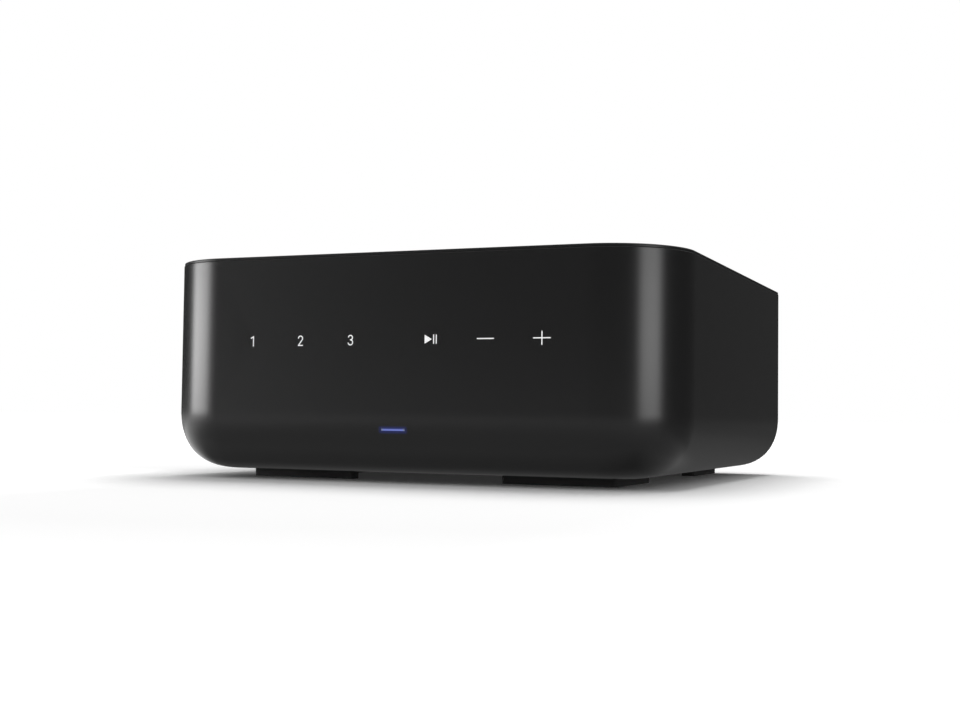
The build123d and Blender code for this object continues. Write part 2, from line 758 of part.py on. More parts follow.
def base_plate():
    """The steel plate that stands on the floor's pads and carries the boards."""
    half = FLAT_HALF - PLATE_MARGIN
    span = (FRONT + BOTTOM_RADIUS, PANEL_IN - PANEL_BOSS_DEPTH - PLATE_MARGIN)
    plate = slab((-half, half), span, (PLATE_BOTTOM, PLATE_TOP))
    for x, y in foot_centres().values():
        plate = plate + upright(x, y, PLATE_TOP, PLATE_BOSS_RADIUS, PLATE_BOSS_HEIGHT)
    for x, y in foot_centres().values():
        plate = plate - upright(x, y, PLATE_BOTTOM, HOLE_RADIUS, PLATE_THICK + PLATE_BOSS_HEIGHT)
    for x, y in spacer_places():
        plate = plate - upright(x, y, PLATE_BOTTOM, HOLE_RADIUS, PLATE_THICK)
    return plate - floor_vents(PLATE_BOTTOM, PLATE_TOP)


def board(x_span, y_span):
    """A circuit board with the screw holes that fall on it."""
    plate = slab(x_span, y_span, (BOARD_BOTTOM, BOARD_TOP))
    for x, y in spacer_places():
        if x_span[0] < x < x_span[1] and y_span[0] < y < y_span[1]:
            plate = plate - upright(x, y, BOARD_BOTTOM, WIDE_HOLE_RADIUS, BOARD_THICK)
    return plate


def boards():
    """The amplifier board in front, the main board behind it and the power board beside both."""
    left = (-FLAT_HALF, BOARD_SPLIT_X - BOARD_SPLIT_GAP / 2)
    right = (BOARD_SPLIT_X + BOARD_SPLIT_GAP / 2, FLAT_HALF)
    save("amp_board", board(left, (FRONT + AMP_BOARD_FRONT, AMP_BOARD_REAR)))
    save("main_board", board(left, (MAIN_BOARD_FRONT, BOARD_REAR)))
    save("power_board", board(right, (FRONT + POWER_BOARD_FRONT, BOARD_REAR)))


def fasteners():
    """The screws and spacers, each kind as one group."""
    spacers = [Pos(x, y, PLATE_TOP) * spacer(SPACER_HEIGHT) for x, y in spacer_places()]
    behind = SWITCH_FACE + SWITCH_DEPTH
    for x, z in button_spacer_places():
        spacers.append(Pos(x, BUTTON_BOARD_FACE, z) * Rot(-90, 0, 0) * spacer(behind))
    save_group("hex_spacers", spacers)

    screws = [Pos(x, y, BOARD_TOP) * screw() for x, y in spacer_places()]
    for x, y in foot_centres().values():
        screws.append(Pos(x, y, FOOT_HEIGHT + HEAD_HEIGHT) * Rot(180, 0, 0) * screw())
    for x in lamp_boss_places():
        screws.append(Pos(x, lamp_board_face() + LAMP_BOARD_THICK, LAMP_Z) * Rot(-90, 0, 0) * screw())
    save_group("chassis_screws", screws)

    places = panel_screw_places() + button_spacer_places()
    save_group("panel_screws", [Pos(x, PANEL_OUT, z) * Rot(-90, 0, 0) * screw() for x, z in places])


def touch_and_lamp(shell):
    """The touch board, its flat cable, and the lamp's board, light source and clear bar."""
    low = SYMBOL_Z - TOUCH_BOARD_HEIGHT / 2
    inner = FRONT + WALL
    half = HALF_WIDTH - CORNER_RADIUS - TOUCH_BOARD_MARGIN
    save(
        "touch_board",
        slab((-half, half), (inner, inner + TOUCH_BOARD_THICK), (low, low + TOUCH_BOARD_HEIGHT)),
    )
    start = inner + TOUCH_BOARD_THICK
    end = MAIN_BOARD_FRONT + RIBBON_REACH
    path = FilletPolyline(
        (RIBBON_X, start, SYMBOL_Z),
        (RIBBON_X, end, SYMBOL_Z),
        (RIBBON_X, end, BOARD_TOP),
        radius=RIBBON_BEND,
    )
    section = Plane(origin=path @ 0, x_dir=(1, 0, 0), z_dir=path % 0) * Rectangle(RIBBON_WIDTH, RIBBON_THICK)
    save("touch_ribbon", sweep(section, path=path))

    save("lamp_light_guide", light_guide(shell))
    face = lamp_board_face()
    span = (LAMP_X - LAMP_BOARD_WIDTH / 2, LAMP_X + LAMP_BOARD_WIDTH / 2)
    tall = (LAMP_Z - LAMP_BOARD_HEIGHT / 2, LAMP_Z + LAMP_BOARD_HEIGHT / 2)
    plate = slab(span, (face, face + LAMP_BOARD_THICK), tall)
    for x in lamp_boss_places():
        plate = plate - rod(x, LAMP_Z, WIDE_HOLE_RADIUS, face, face + LAMP_BOARD_THICK)
    source = slab(
        (LAMP_X - LED_WIDTH / 2, LAMP_X + LED_WIDTH / 2),
        (face - LED_DEPTH, face),
        (LAMP_Z - LED_HEIGHT / 2, LAMP_Z + LED_HEIGHT / 2),
    )
    save_group("lamp_board", [plate, source])


def ethernet_socket():
    """A screened network jack: a sheet shell round a moulded insert."""
    wide, deep, high = ETHERNET_SIZE
    shell = facing_rear(ETHERNET_X, BOARD_TOP, ETHERNET_SIZE, SOCKET_FACE)
    inner_size = (wide - 2 * ETHERNET_SHEET, deep - ETHERNET_SHEET, high - 2 * ETHERNET_SHEET)
    insert = facing_rear(ETHERNET_X, BOARD_TOP + ETHERNET_SHEET, inner_size, SOCKET_FACE)
    sill = BOARD_TOP + ETHERNET_SILL
    mouth = facing_rear(ETHERNET_X, sill, ETHERNET_MOUTH, SOCKET_FACE)
    latch_size = (LATCH_WIDTH, ETHERNET_MOUTH[1], LATCH_HEIGHT)
    latch = facing_rear(ETHERNET_X, sill - LATCH_HEIGHT, latch_size, SOCKET_FACE)
    return [shell - insert, insert - mouth - latch]


def framed_socket(x, z, size, sheet, tongue_size, tongue_z, corner):
    """A sheet-metal socket with a tongue on a block at its back; corner eases the lower edges."""
    wide, deep, high = size
    outer = facing_rear(x, z, size, SOCKET_FACE)
    inner = facing_rear(x, z + sheet, (wide - 2 * sheet, deep - sheet, high - 2 * sheet), SOCKET_FACE)
    if corner:
        outer = chamfer(outer.edges().filter_by(Axis.Y).group_by(Axis.Z)[0], corner)
        inner = chamfer(inner.edges().filter_by(Axis.Y).group_by(Axis.Z)[0], corner)
    back_face = SOCKET_FACE - deep + sheet + SOCKET_BACK
    back = inner & slab((x - wide, x + wide), (SOCKET_FACE - deep, back_face), (z, z + high))
    tongue = facing_rear(x, tongue_z, tongue_size, back_face + tongue_size[1])
    return [outer - inner, back + tongue]


def optical_socket():
    """A light-link socket with pivot holes for its flap and a hole for the plug's ferrule."""
    body = facing_rear(OPTICAL_X, BOARD_TOP, OPTICAL_SIZE, SOCKET_FACE)
    mouth_low = BOARD_TOP + OPTICAL_SILL
    mouth = facing_rear(OPTICAL_X, mouth_low, OPTICAL_MOUTH, SOCKET_FACE)
    middle = mouth_low + OPTICAL_MOUTH[2] / 2
    bottom = SOCKET_FACE - OPTICAL_MOUTH[1]
    ferrule = rod(OPTICAL_X, middle, FERRULE_RADIUS, bottom - FERRULE_DEPTH, bottom)
    reach = OPTICAL_MOUTH[0] / 2 + PIVOT_LENGTH
    y, z = flap_pivot()
    holes = Pos(OPTICAL_X, y, z) * Rot(0, 90, 0) * Cylinder(PIVOT_RADIUS + SCREW_FIT, 2 * reach)
    return body - mouth - ferrule - holes


def flap_pivot():
    """The flap's axis, along X, inside the top of the socket's mouth."""
    top = BOARD_TOP + OPTICAL_SILL + OPTICAL_MOUTH[2]
    return SOCKET_FACE - FLAP_SETBACK, top - FLAP_HEADROOM


def optical_flap():
    """The sprung flap that closes the socket and folds up inside it."""
    y, z = flap_pivot()
    half = OPTICAL_MOUTH[0] / 2 - FLAP_GAP
    low = BOARD_TOP + OPTICAL_SILL + FLAP_GAP
    leaf = slab((OPTICAL_X - half, OPTICAL_X + half), (y - FLAP_THICK / 2, y + FLAP_THICK / 2), (low, z))
    knuckle = Pos(OPTICAL_X, y, z) * Rot(0, 90, 0) * Cylinder(FLAP_THICK / 2, 2 * half)
    reach = OPTICAL_MOUTH[0] / 2 + PIVOT_LENGTH - FLAP_GAP
    pins = Pos(OPTICAL_X, y, z) * Rot(0, 90, 0) * Cylinder(PIVOT_RADIUS, 2 * reach)
    return leaf + knuckle + pins


def rca_places():
    """The phono sockets: left over right, then the subwoofer's beside them."""
    low = BOARD_TOP + RCA_LIFT
    return [(RCA_COLUMN_X, low + RCA_ROW), (RCA_COLUMN_X, low), (RCA_SUB_X, low)]


def rca_insert(x, z):
    """The coloured insulator of a phono socket: disc, collar and core with the hole for the pin."""
    disc = rod(x, z, RCA_COLLAR_RADIUS, PANEL_IN - RCA_DISC, PANEL_IN)
    collar = rod(x, z, RCA_COLLAR_RADIUS, PANEL_IN, PANEL_OUT + RCA_COLLAR_PROUD)
    collar = collar - rod(x, z, RCA_BARREL_RADIUS + RCA_FIT, PANEL_IN, PANEL_OUT + RCA_COLLAR_PROUD)
    core_end = PANEL_OUT + RCA_REACH - RCA_CORE_SHORT
    core = rod(x, z, RCA_BARREL_RADIUS - RCA_BARREL_WALL - RCA_FIT, PANEL_IN, core_end)
    hole = rod(x, z, RCA_HOLE_RADIUS, core_end - RCA_HOLE_DEPTH, core_end)
    return disc + collar + core - hole


def rca_sockets():
    """The block behind the panel, the three insulators and the three plated barrels."""
    low = BOARD_TOP
    tall = RCA_LIFT + RCA_ROW + RCA_BLOCK_TOP
    block = facing_rear(RCA_COLUMN_X, low, (RCA_BLOCK_WIDTH, RCA_BLOCK_DEPTH, tall), PANEL_IN)
    short = (RCA_BLOCK_WIDTH, RCA_BLOCK_DEPTH, RCA_LIFT + RCA_BLOCK_TOP)
    block = block + facing_rear(RCA_SUB_X, low, short, PANEL_IN)
    block = block + facing_rear((RCA_COLUMN_X + RCA_SUB_X) / 2, low, short, PANEL_IN)
    barrels = []
    for x, z in rca_places():
        block = block - rod(x, z, RCA_COLLAR_RADIUS + RCA_FIT, PANEL_IN - RCA_DISC, PANEL_IN)
        tube = rod(x, z, RCA_BARREL_RADIUS, PANEL_IN, PANEL_OUT + RCA_REACH)
        inside = RCA_BARREL_RADIUS - RCA_BARREL_WALL
        barrels.append(tube - rod(x, z, inside, PANEL_IN, PANEL_OUT + RCA_REACH))
    save("rca_block", block)
    save_group("rca_barrels", barrels)
    for name, place in zip(("rca_insert_white", "rca_insert_red", "rca_insert_sub"), rca_places()):
        save(name, rca_insert(*place))


def push_button(x):
    """A round button: cap through the panel, flange behind it and a stem into its switch."""
    cap = rod(x, BUTTON_Z, BUTTON_RADIUS, PANEL_IN, PANEL_OUT + BUTTON_PROUD)
    cap = chamfer(cap.edges().group_by(Axis.Y)[-1], BUTTON_EDGE)
    flange = rod(x, BUTTON_Z, BUTTON_FLANGE_RADIUS, PANEL_IN - BUTTON_FLANGE, PANEL_IN)
    stem = rod(x, BUTTON_Z, STEM_RADIUS, PANEL_IN - SWITCH_FACE - STEM_ENTRY, PANEL_IN)
    return cap + flange + stem


def buttons():
    """The two push buttons, their switches and the board behind them."""
    for name, x in zip(("connect_button", "pairing_button"), BUTTON_X):
        save(name, push_button(x))
    face = PANEL_IN - SWITCH_FACE
    well = STEM_ENTRY + BUTTON_TRAVEL + SWITCH_SPARE
    switches = []
    for x in BUTTON_X:
        size = (SWITCH_SIZE, SWITCH_DEPTH, SWITCH_SIZE)
        case = facing_rear(x, BUTTON_Z - SWITCH_SIZE / 2, size, face)
        switches.append(case - rod(x, BUTTON_Z, STEM_RADIUS + BUTTON_FIT, face - well, face))
    save_group("button_switches", switches)
    span = (min(BUTTON_X) - BUTTON_BOARD_MARGIN, max(BUTTON_X) + BUTTON_BOARD_MARGIN)
    tall = (BUTTON_Z - BUTTON_BOARD_HEIGHT / 2, BUTTON_Z + BUTTON_BOARD_HEIGHT / 2)
    save("button_board", slab(span, (BUTTON_BOARD_FACE - TOUCH_BOARD_THICK, BUTTON_BOARD_FACE), tall))


def mains_inlet():
    """A two-pin inlet: a figure-of-eight recess with two pins."""
    body = facing_rear(INLET_X, BOARD_TOP, INLET_SIZE, SOCKET_FACE)
    z = BOARD_TOP + INLET_SIZE[2] / 2
    plane = Plane(origin=(INLET_X, SOCKET_FACE - INLET_DEPTH, z), x_dir=(1, 0, 0), z_dir=(0, 1, 0))
    recess = extrude(plane * SlotCenterToCenter(INLET_PIN_SPACING, 2 * INLET_LOBE_RADIUS), INLET_DEPTH)
    pins = []
    for sign in (-1, 1):
        x = INLET_X + sign * INLET_PIN_SPACING / 2
        start = SOCKET_FACE - INLET_DEPTH
        pins.append(rod(x, z, INLET_PIN_RADIUS, start, start + INLET_PIN_LENGTH))
    return [body - recess, *pins]


def can(x, y, radius, height):
    """An electrolytic capacitor with an eased top edge, standing on a board."""
    body = upright(x, y, BOARD_TOP, radius, height)
    return chamfer(body.edges().group_by(Axis.Z)[-1], CAP_CRIMP)


def power_supply():
    """The line choke, capacitors, transformer and cooling plate on the power board."""
    x = BOARD_SPLIT_X + CHOKE_FROM_SPLIT
    y = BOARD_REAR - CHOKE_REAR
    ring = upright(x, y, BOARD_TOP, CHOKE_RADIUS, CHOKE_HEIGHT)
    ring = fillet(ring.edges().group_by(Axis.Z)[-1], CHOKE_HEIGHT / 4)
    save("line_choke", ring - upright(x, y, BOARD_TOP, CHOKE_HOLE, CHOKE_HEIGHT))

    cans = [can(x, BOARD_REAR - BULK_REAR, BULK_RADIUS, BULK_HEIGHT) for x in BULK_X]
    output_y = BOARD_REAR - OUTPUT_CAP_REAR
    cans += [can(x, output_y, OUTPUT_CAP_RADIUS, OUTPUT_CAP_HEIGHT) for x in OUTPUT_CAP_X]
    save_group("supply_capacitors", cans)

    y = BOARD_REAR - TRANSFORMER_REAR
    core = standing(TRANSFORMER_X, y, BOARD_TOP, CORE_SIZE)
    window_size = (CORE_SIZE[0] - 2 * (CORE_LEG / 2), CORE_SIZE[1], CORE_SIZE[2] - CORE_LEG)
    window = standing(TRANSFORMER_X, y, BOARD_TOP + CORE_LEG / 2, window_size)
    middle_leg = standing(TRANSFORMER_X, y, BOARD_TOP, (CORE_LEG, CORE_SIZE[1], CORE_SIZE[2]))
    core = core - window + middle_leg
    winding_low = BOARD_TOP + (CORE_SIZE[2] - WINDING_SIZE[2]) / 2
    winding = standing(TRANSFORMER_X, y, winding_low, WINDING_SIZE)
    winding = fillet(winding.edges().filter_by(Axis.Z), WINDING_SIZE[0] / 6) - middle_leg
    save_group("power_transformer", [core, winding])

    sink_y = BOARD_REAR - POWER_SINK_REAR
    sink = standing(HEATSINK_X, sink_y, BOARD_TOP, POWER_SINK_SIZE)
    foot_size = (POWER_SINK_FOOT, POWER_SINK_SIZE[1], POWER_SINK_SIZE[0])
    inner = HEATSINK_X - POWER_SINK_SIZE[0] / 2 - POWER_SINK_FOOT / 2
    save("power_heatsink", sink + standing(inner, sink_y, BOARD_TOP, foot_size))


def finned(x, y, low, base, count, thick, height):
    """A cooling block: a base with upright fins along Y, evenly spread over its width."""
    block = standing(x, y, low, base)
    step = (base[0] - thick) / (count - 1)
    first = x - base[0] / 2 + thick / 2
    fins = []
    for index in range(count):
        fins.append(standing(first + index * step, y, low, (thick, base[1], base[2] + height)))
    return block + fins


def inductor(x, y):
    """A drum choke: two flanges round a winding."""
    low = upright(x, y, BOARD_TOP, INDUCTOR_RADIUS, INDUCTOR_FLANGE)
    middle = upright(x, y, BOARD_TOP, INDUCTOR_WAIST, INDUCTOR_HEIGHT)
    top = BOARD_TOP + INDUCTOR_HEIGHT - INDUCTOR_FLANGE
    return low + middle + upright(x, y, top, INDUCTOR_RADIUS, INDUCTOR_FLANGE)


def amplifier():
    """The output chips, the cooling block over them and the output chokes."""
    y = FRONT + CHIP_FRONT
    save_group("amp_chips", [standing(x, y, BOARD_TOP, CHIP_SIZE) for x in CHIP_X])
    low = BOARD_TOP + CHIP_SIZE[2]
    sink = finned(SINK_X, y, low, SINK_SIZE, SINK_FINS, SINK_FIN_THICK, SINK_FIN_HEIGHT)
    for sign in (-1, 1):
        leg_x = SINK_X + sign * (SINK_SIZE[0] / 2 - SINK_LEG_INSET)
        sink = sink + upright(leg_x, y, BOARD_TOP, SINK_LEG_RADIUS, CHIP_SIZE[2] + SINK_SIZE[2] / 2)
    save("amp_heatsink", sink)
    first = SINK_X - (INDUCTOR_COUNT - 1) / 2 * INDUCTOR_PITCH
    behind = y + SINK_SIZE[1] / 2 + INDUCTOR_SINK_GAP + INDUCTOR_RADIUS
    chokes = [inductor(first + index * INDUCTOR_PITCH, behind) for index in range(INDUCTOR_COUNT)]
    save_group("output_inductors", chokes)


def main_board_parts():
    """The network module, the processor with its cooler and a row of small capacitors."""
    module_y = BOARD_REAR - MODULE_REAR
    card = standing(MODULE_X, module_y, BOARD_TOP, MODULE_SIZE)
    shield = standing(MODULE_X, module_y, BOARD_TOP + MODULE_SIZE[2], SHIELD_SIZE)
    save_group("network_module", [card, shield])
    y = BOARD_REAR - PROCESSOR_REAR
    save("processor", standing(PROCESSOR_X, y, BOARD_TOP, PROCESSOR_SIZE))
    low = BOARD_TOP + PROCESSOR_SIZE[2]
    cooler = finned(
        PROCESSOR_X, y, low, PROCESSOR_SINK, PROCESSOR_FINS, PROCESSOR_FIN_THICK, PROCESSOR_FIN_HEIGHT
    )
    save("processor_heatsink", cooler)
    small_y = MAIN_BOARD_FRONT + SMALL_CAP_FRONT
    cans = [can(x, small_y, SMALL_CAP_RADIUS, SMALL_CAP_HEIGHT) for x in SMALL_CAP_X]
    save_group("small_capacitors", cans)


def post_base(x):
    """A post's insulators: the outer flange with its neck, and the washer inside the panel."""
    neck_end = PANEL_IN - WASHER_THICK / 2
    flange = rod(x, POST_Z, POST_FLANGE_RADIUS, PANEL_OUT, POST_FACE)
    flange = flange + rod(x, POST_Z, POST_NECK_RADIUS, neck_end, PANEL_OUT)
    washer = rod(x, POST_Z, WASHER_RADIUS, PANEL_IN - WASHER_THICK, PANEL_IN)
    washer = washer - rod(x, POST_Z, POST_NECK_RADIUS, neck_end, PANEL_IN)
    bore = rod(x, POST_Z, STUD_RADIUS, PANEL_IN - WASHER_THICK, POST_FACE)
    return [flange - bore, washer - bore]


def post_stud(x):
    """A post's stud with its plug bore from the tip and its cross hole for bare wire."""
    stud = rod(x, POST_Z, STUD_RADIUS, STUD_END, STUD_TIP)
    hole_y = POST_FACE + WIRE_HOLE_OUT
    stud = stud - rod(x, POST_Z, PLUG_RADIUS, STUD_TIP - PLUG_DEPTH, STUD_TIP)
    return stud - Pos(x, hole_y, POST_Z) * Cylinder(WIRE_HOLE_RADIUS, 4 * STUD_RADIUS)


def post_nut(x):
    """The hexagonal nut that holds a post from inside."""
    plane = Plane(origin=(x, PANEL_IN - WASHER_THICK - NUT_THICK, POST_Z), x_dir=(1, 0, 0), z_dir=(0, 1, 0))
    outline = RegularPolygon(NUT_FLATS / 2, 6, major_radius=False) - Circle(STUD_RADIUS)
    return extrude(plane * outline, NUT_THICK)


def post_bush(x):
    """The brass bush that runs on the stud's thread."""
    end = POST_FACE + CAP_LENGTH - CAP_LIP
    bush = rod(x, POST_Z, BUSH_RADIUS, POST_FACE + BUSH_INSET, end)
    return bush - rod(x, POST_Z, STUD_RADIUS + POST_FIT, POST_FACE, end)


def post_cap(x):
    """The ribbed cap round the bush, with a lip that leaves the plug bore open."""
    end = POST_FACE + CAP_LENGTH
    cap = rod(x, POST_Z, CAP_RADIUS, POST_FACE, end)
    cap = chamfer(cap.edges().group_by(Axis.Y)[-1], CAP_EDGE)
    cap = cap - rod(x, POST_Z, BUSH_RADIUS + POST_FIT, POST_FACE, end - CAP_LIP)
    cap = cap - rod(x, POST_Z, STUD_RADIUS + CAP_LIP_GAP, end - CAP_LIP, end)
    grooves = []
    for index in range(CAP_RIBS):
        angle = 2 * math.pi * index / CAP_RIBS
        groove_x = x + CAP_RADIUS * math.cos(angle)
        groove_z = POST_Z + CAP_RADIUS * math.sin(angle)
        grooves.append(rod(groove_x, groove_z, CAP_RIB_RADIUS, POST_FACE + CAP_LIP, end))
    return cap - grooves


def speaker_posts():
    """Four posts, red and black in turn."""
    red = [solid for x in POST_X[0::2] for solid in post_base(x)]
    black = [solid for x in POST_X[1::2] for solid in post_base(x)]
    save_group("post_bases_red", red)
    save_group("post_bases_black", black)
    save_group("post_studs", [post_stud(x) for x in POST_X])
    save_group("post_nuts", [post_nut(x) for x in POST_X])
    for number, x in enumerate(POST_X, 1):
        save(f"post_bush_{number}", post_bush(x))
        save(f"post_cap_{number}", post_cap(x))


def speaker_leads():
    """Four leads from the amplifier board up and over to the posts, spread so that none crosses another."""
    leads = []
    for index, x in enumerate(POST_X):
        y = FRONT + SPEAKER_LEAD_FRONT + index * SPEAKER_LEAD_STEP
        high = BOARD_TOP + SPEAKER_LEAD_RISE
        points = [
            (SPEAKER_LEAD_X, y, BOARD_TOP),
            (SPEAKER_LEAD_X, y, high),
            (x, STUD_END - SPEAKER_LEAD_RUN, POST_Z),
            (x, STUD_END, POST_Z),
        ]
        leads.append(lead(points, LEAD_RADIUS, LEAD_BEND))
    return leads


def supply_leads():
    """Two leads that hop from the power board to the amplifier board."""
    leads = []
    high = BOARD_TOP + SUPPLY_LEAD_RISE
    for index in range(2):
        y = FRONT + SUPPLY_LEAD_FRONT + index * SUPPLY_LEAD_STEP
        near = BOARD_SPLIT_X - SUPPLY_LEAD_SPAN
        far = BOARD_SPLIT_X + SUPPLY_LEAD_SPAN
        points = [(far, y, BOARD_TOP), (far, y, high), (near, y, high), (near, y, BOARD_TOP)]
        leads.append(lead(points, LEAD_RADIUS, SUPPLY_LEAD_BEND))
    return leads


def aerials():
    """Two stick-on aerials on the side walls, each with its thin lead to the network module."""
    y = BOARD_REAR - MODULE_REAR
    z = RIM - AERIAL_DROP
    wall = HALF_WIDTH - WALL
    module_top = BOARD_TOP + MODULE_SIZE[2] + SHIELD_SIZE[2]
    solids = []
    for sign in (-1, 1):
        x = sign * (wall - AERIAL_SIZE[0] / 2)
        solids.append(standing(x, y, z - AERIAL_SIZE[2] / 2, AERIAL_SIZE))
        inner = sign * (wall - AERIAL_SIZE[0])
        end_x = MODULE_X + sign * COAX_SHIFT
        points = [
            (inner, y, z),
            (inner - sign * COAX_OUT, y, z),
            (inner - sign * 2 * COAX_OUT, y, z + COAX_LIFT),
            (end_x, y, z + COAX_LIFT),
            (end_x, y, module_top),
        ]
        if sign < 0:
            points = [(inner, y, z), (end_x, y, z), (end_x, y, module_top)]
        solids.append(lead(points, COAX_RADIUS, COAX_BEND))
    return solids


def build():
    """Models and writes every piece."""
    shell = housing()
    save("housing", shell)
    save("top_cover", top_cover())
    save("rear_panel", rear_panel())
    for name, centre in foot_centres().items():
        save(name, foot(*centre))
    save("base_plate", base_plate())
    boards()
    fasteners()
    save_group("front_symbols", front_symbols())
    touch_and_lamp(shell)
    save_group("ethernet_socket", ethernet_socket())
    usb_low = BOARD_TOP + USB_LIFT
    usb_tongue_z = usb_low + USB_SIZE[2] - USB_SHEET - USB_TONGUE_DROP - USB_TONGUE[2]
    usb = framed_socket(USB_X, usb_low, USB_SIZE, USB_SHEET, USB_TONGUE, usb_tongue_z, 0)
    save_group("usb_socket", usb)
    hdmi_low = BOARD_TOP + HDMI_LIFT
    hdmi_tongue_z = hdmi_low + (HDMI_SIZE[2] - HDMI_TONGUE[2]) / 2
    hdmi = framed_socket(HDMI_X, hdmi_low, HDMI_SIZE, HDMI_SHEET, HDMI_TONGUE, hdmi_tongue_z, HDMI_CORNER)
    save_group("hdmi_socket", hdmi)
    save("optical_socket", optical_socket())
    save("optical_flap", optical_flap())
    rca_sockets()
    buttons()
    save_group("ac_inlet", mains_inlet())
    power_supply()
    amplifier()
    main_board_parts()
    speaker_posts()
    save_group("speaker_leads", speaker_leads())
    save_group("supply_leads", supply_leads())
    save_group("aerials", aerials())


build()
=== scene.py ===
"""Looks of a compact streaming amplifier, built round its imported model. Metres, front facing -Y, +Z up."""

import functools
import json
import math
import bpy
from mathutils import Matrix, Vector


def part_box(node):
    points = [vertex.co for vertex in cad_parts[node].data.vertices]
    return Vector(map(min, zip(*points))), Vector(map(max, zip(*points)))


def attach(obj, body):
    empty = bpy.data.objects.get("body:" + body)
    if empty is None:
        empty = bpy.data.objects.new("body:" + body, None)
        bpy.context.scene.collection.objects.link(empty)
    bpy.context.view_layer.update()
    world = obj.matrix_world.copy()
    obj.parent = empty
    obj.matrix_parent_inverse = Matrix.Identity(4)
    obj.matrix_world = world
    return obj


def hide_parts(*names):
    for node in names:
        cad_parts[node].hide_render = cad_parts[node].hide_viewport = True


bl_info = {
    "name": "Streaming Amplifier",
    "version": (1, 0, 0),
    "blender": (4, 5, 0),
    "location": "3D View > Sidebar > Amplifier",
    "description": "Builds the visible pieces, finishes and studio of a compact streaming amplifier",
    "category": "Add Mesh",
}

import bmesh
import bpy
from bpy.props import FloatProperty, FloatVectorProperty, IntProperty, PointerProperty
from bpy.types import Operator, Panel, PropertyGroup
from mathutils import Matrix, Vector

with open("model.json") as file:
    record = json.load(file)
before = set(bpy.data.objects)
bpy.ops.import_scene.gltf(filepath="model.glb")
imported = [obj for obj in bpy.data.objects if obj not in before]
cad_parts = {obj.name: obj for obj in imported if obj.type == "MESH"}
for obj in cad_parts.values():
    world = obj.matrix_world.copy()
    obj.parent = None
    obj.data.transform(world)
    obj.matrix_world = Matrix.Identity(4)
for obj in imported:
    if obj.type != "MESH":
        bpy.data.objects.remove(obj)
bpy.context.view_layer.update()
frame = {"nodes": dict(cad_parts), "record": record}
MM = 0.001
ROOT = "amplifier"
HOUSING_LOW, HOUSING_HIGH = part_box("housing")
PANEL_LOW, PANEL_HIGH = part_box("rear_panel")
FRONT, BACK, RIM = HOUSING_LOW.y, HOUSING_HIGH.y, HOUSING_HIGH.z
LID_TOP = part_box("top_cover")[1].z

# Places, levels and names that several pieces share, in millimetres
FRONT_MM = FRONT / MM
PANEL_IN = PANEL_LOW.y / MM
PANEL_OUT = PANEL_HIGH.y / MM
INK = (PANEL_OUT - 0.01, PANEL_OUT + 0.03)
FEET = ("front_left", "front_right", "rear_left", "rear_right")
CATCHES = (-50, 0, 50)
LAMP_SCREWS = [(-12.2, 20.6), (14.8, 20.6)]
CORNER_BOSSES = [(-102.0, 37.0), (102.0, 37.0), (-102.0, 72.0), (102.0, 72.0)]
LOWER_BOSS = (45.0, 10.1)
BLOCK_DEPTHS = (PANEL_IN - 10, PANEL_IN)

# The camera and the light overhead, in metres and radians
CAMERA_PLACE = (0.22477, -0.55462, 0.02538)
CAMERA_HEADING, CAMERA_TILT, CAMERA_ROLL = 0.39854, 0.04332, 0.01269
KEY_PLACE = (0.0, 0.35, 1.15)
KEY_AIM = (0.0, 0.0, 0.04)
KEY_SIZE = 0.7

# The floor's reach and how far floor and tent lie below the object, in metres
FLOOR_RADIUS = 40.0
FLOOR_DROP = 0.05 * MM
TENT_DROP = 0.01

# Between these distances from the middle, or places along X or Y, the floor's tones change, in metres
# UNDER_EDGE bounds the painted shade that gloss sees on the floor under the object
UNDER_EDGE = (0.094, 0.109)
OPEN_FLOOR = (0.16, 0.26)
SWEEP = (0.3, 1.2)
# Painted light: past these places the camera sees the floor paler, lightening the object's shadow in front on
# the left and to the right
LIFT_LEFT = (-0.14, -0.065)
LIFT_AHEAD = (-0.08, -0.04)
LIFT_RIGHT = (0.12, 0.2)

# Levels between which the tent's strips fade and its top begins, in metres
STRIP_FADE = (0.24, 0.42)
TENT_TOP = (0.5, 1.2)

# What gloss sees right under the object, a painted shade on the floor, and overhead
UNDER_SHADE_TONE = (0.14, 0.14, 0.14)
TOP_TONE = 0.8

# What gloss sees by bearing in degrees, 0 in front and 90 to the right: the floor near and far, in painted
# light and shade, darker near the object in front where its shadow falls and lightest below the left strip,
# and the walls
NEAR_TONES = [(-179, 0.15), (-150, 0.4), (-95, 0.6), (-77, 1.4), (-60, 1.1), (-45, 0.45), (-35, 0.38)]
NEAR_TONES += [(62, 0.36), (80, 0.16), (150, 0.13)]
FAR_TONES = [(-179, 0.1), (-150, 0.35), (-95, 0.6), (-77, 1.5), (-60, 1.2), (-43, 0.65), (45, 0.55)]
FAR_TONES += [(75, 0.2), (110, 0.12), (165, 0.1)]
WALL_TONES = [(-179, 0.16), (-174, 0.6), (-160, 0.6), (-152, 0.06), (-138, 0.045), (-88, 0.06)]
WALL_TONES += [(-77, 1.0), (-53.5, 1.0), (-43, 0.30), (-33, 0.27), (-19, 0.125), (48, 0.1)]
WALL_TONES += [(57, 1.0), (77, 1.0), (87, 0.125), (120, 0.075), (168, 0.066)]

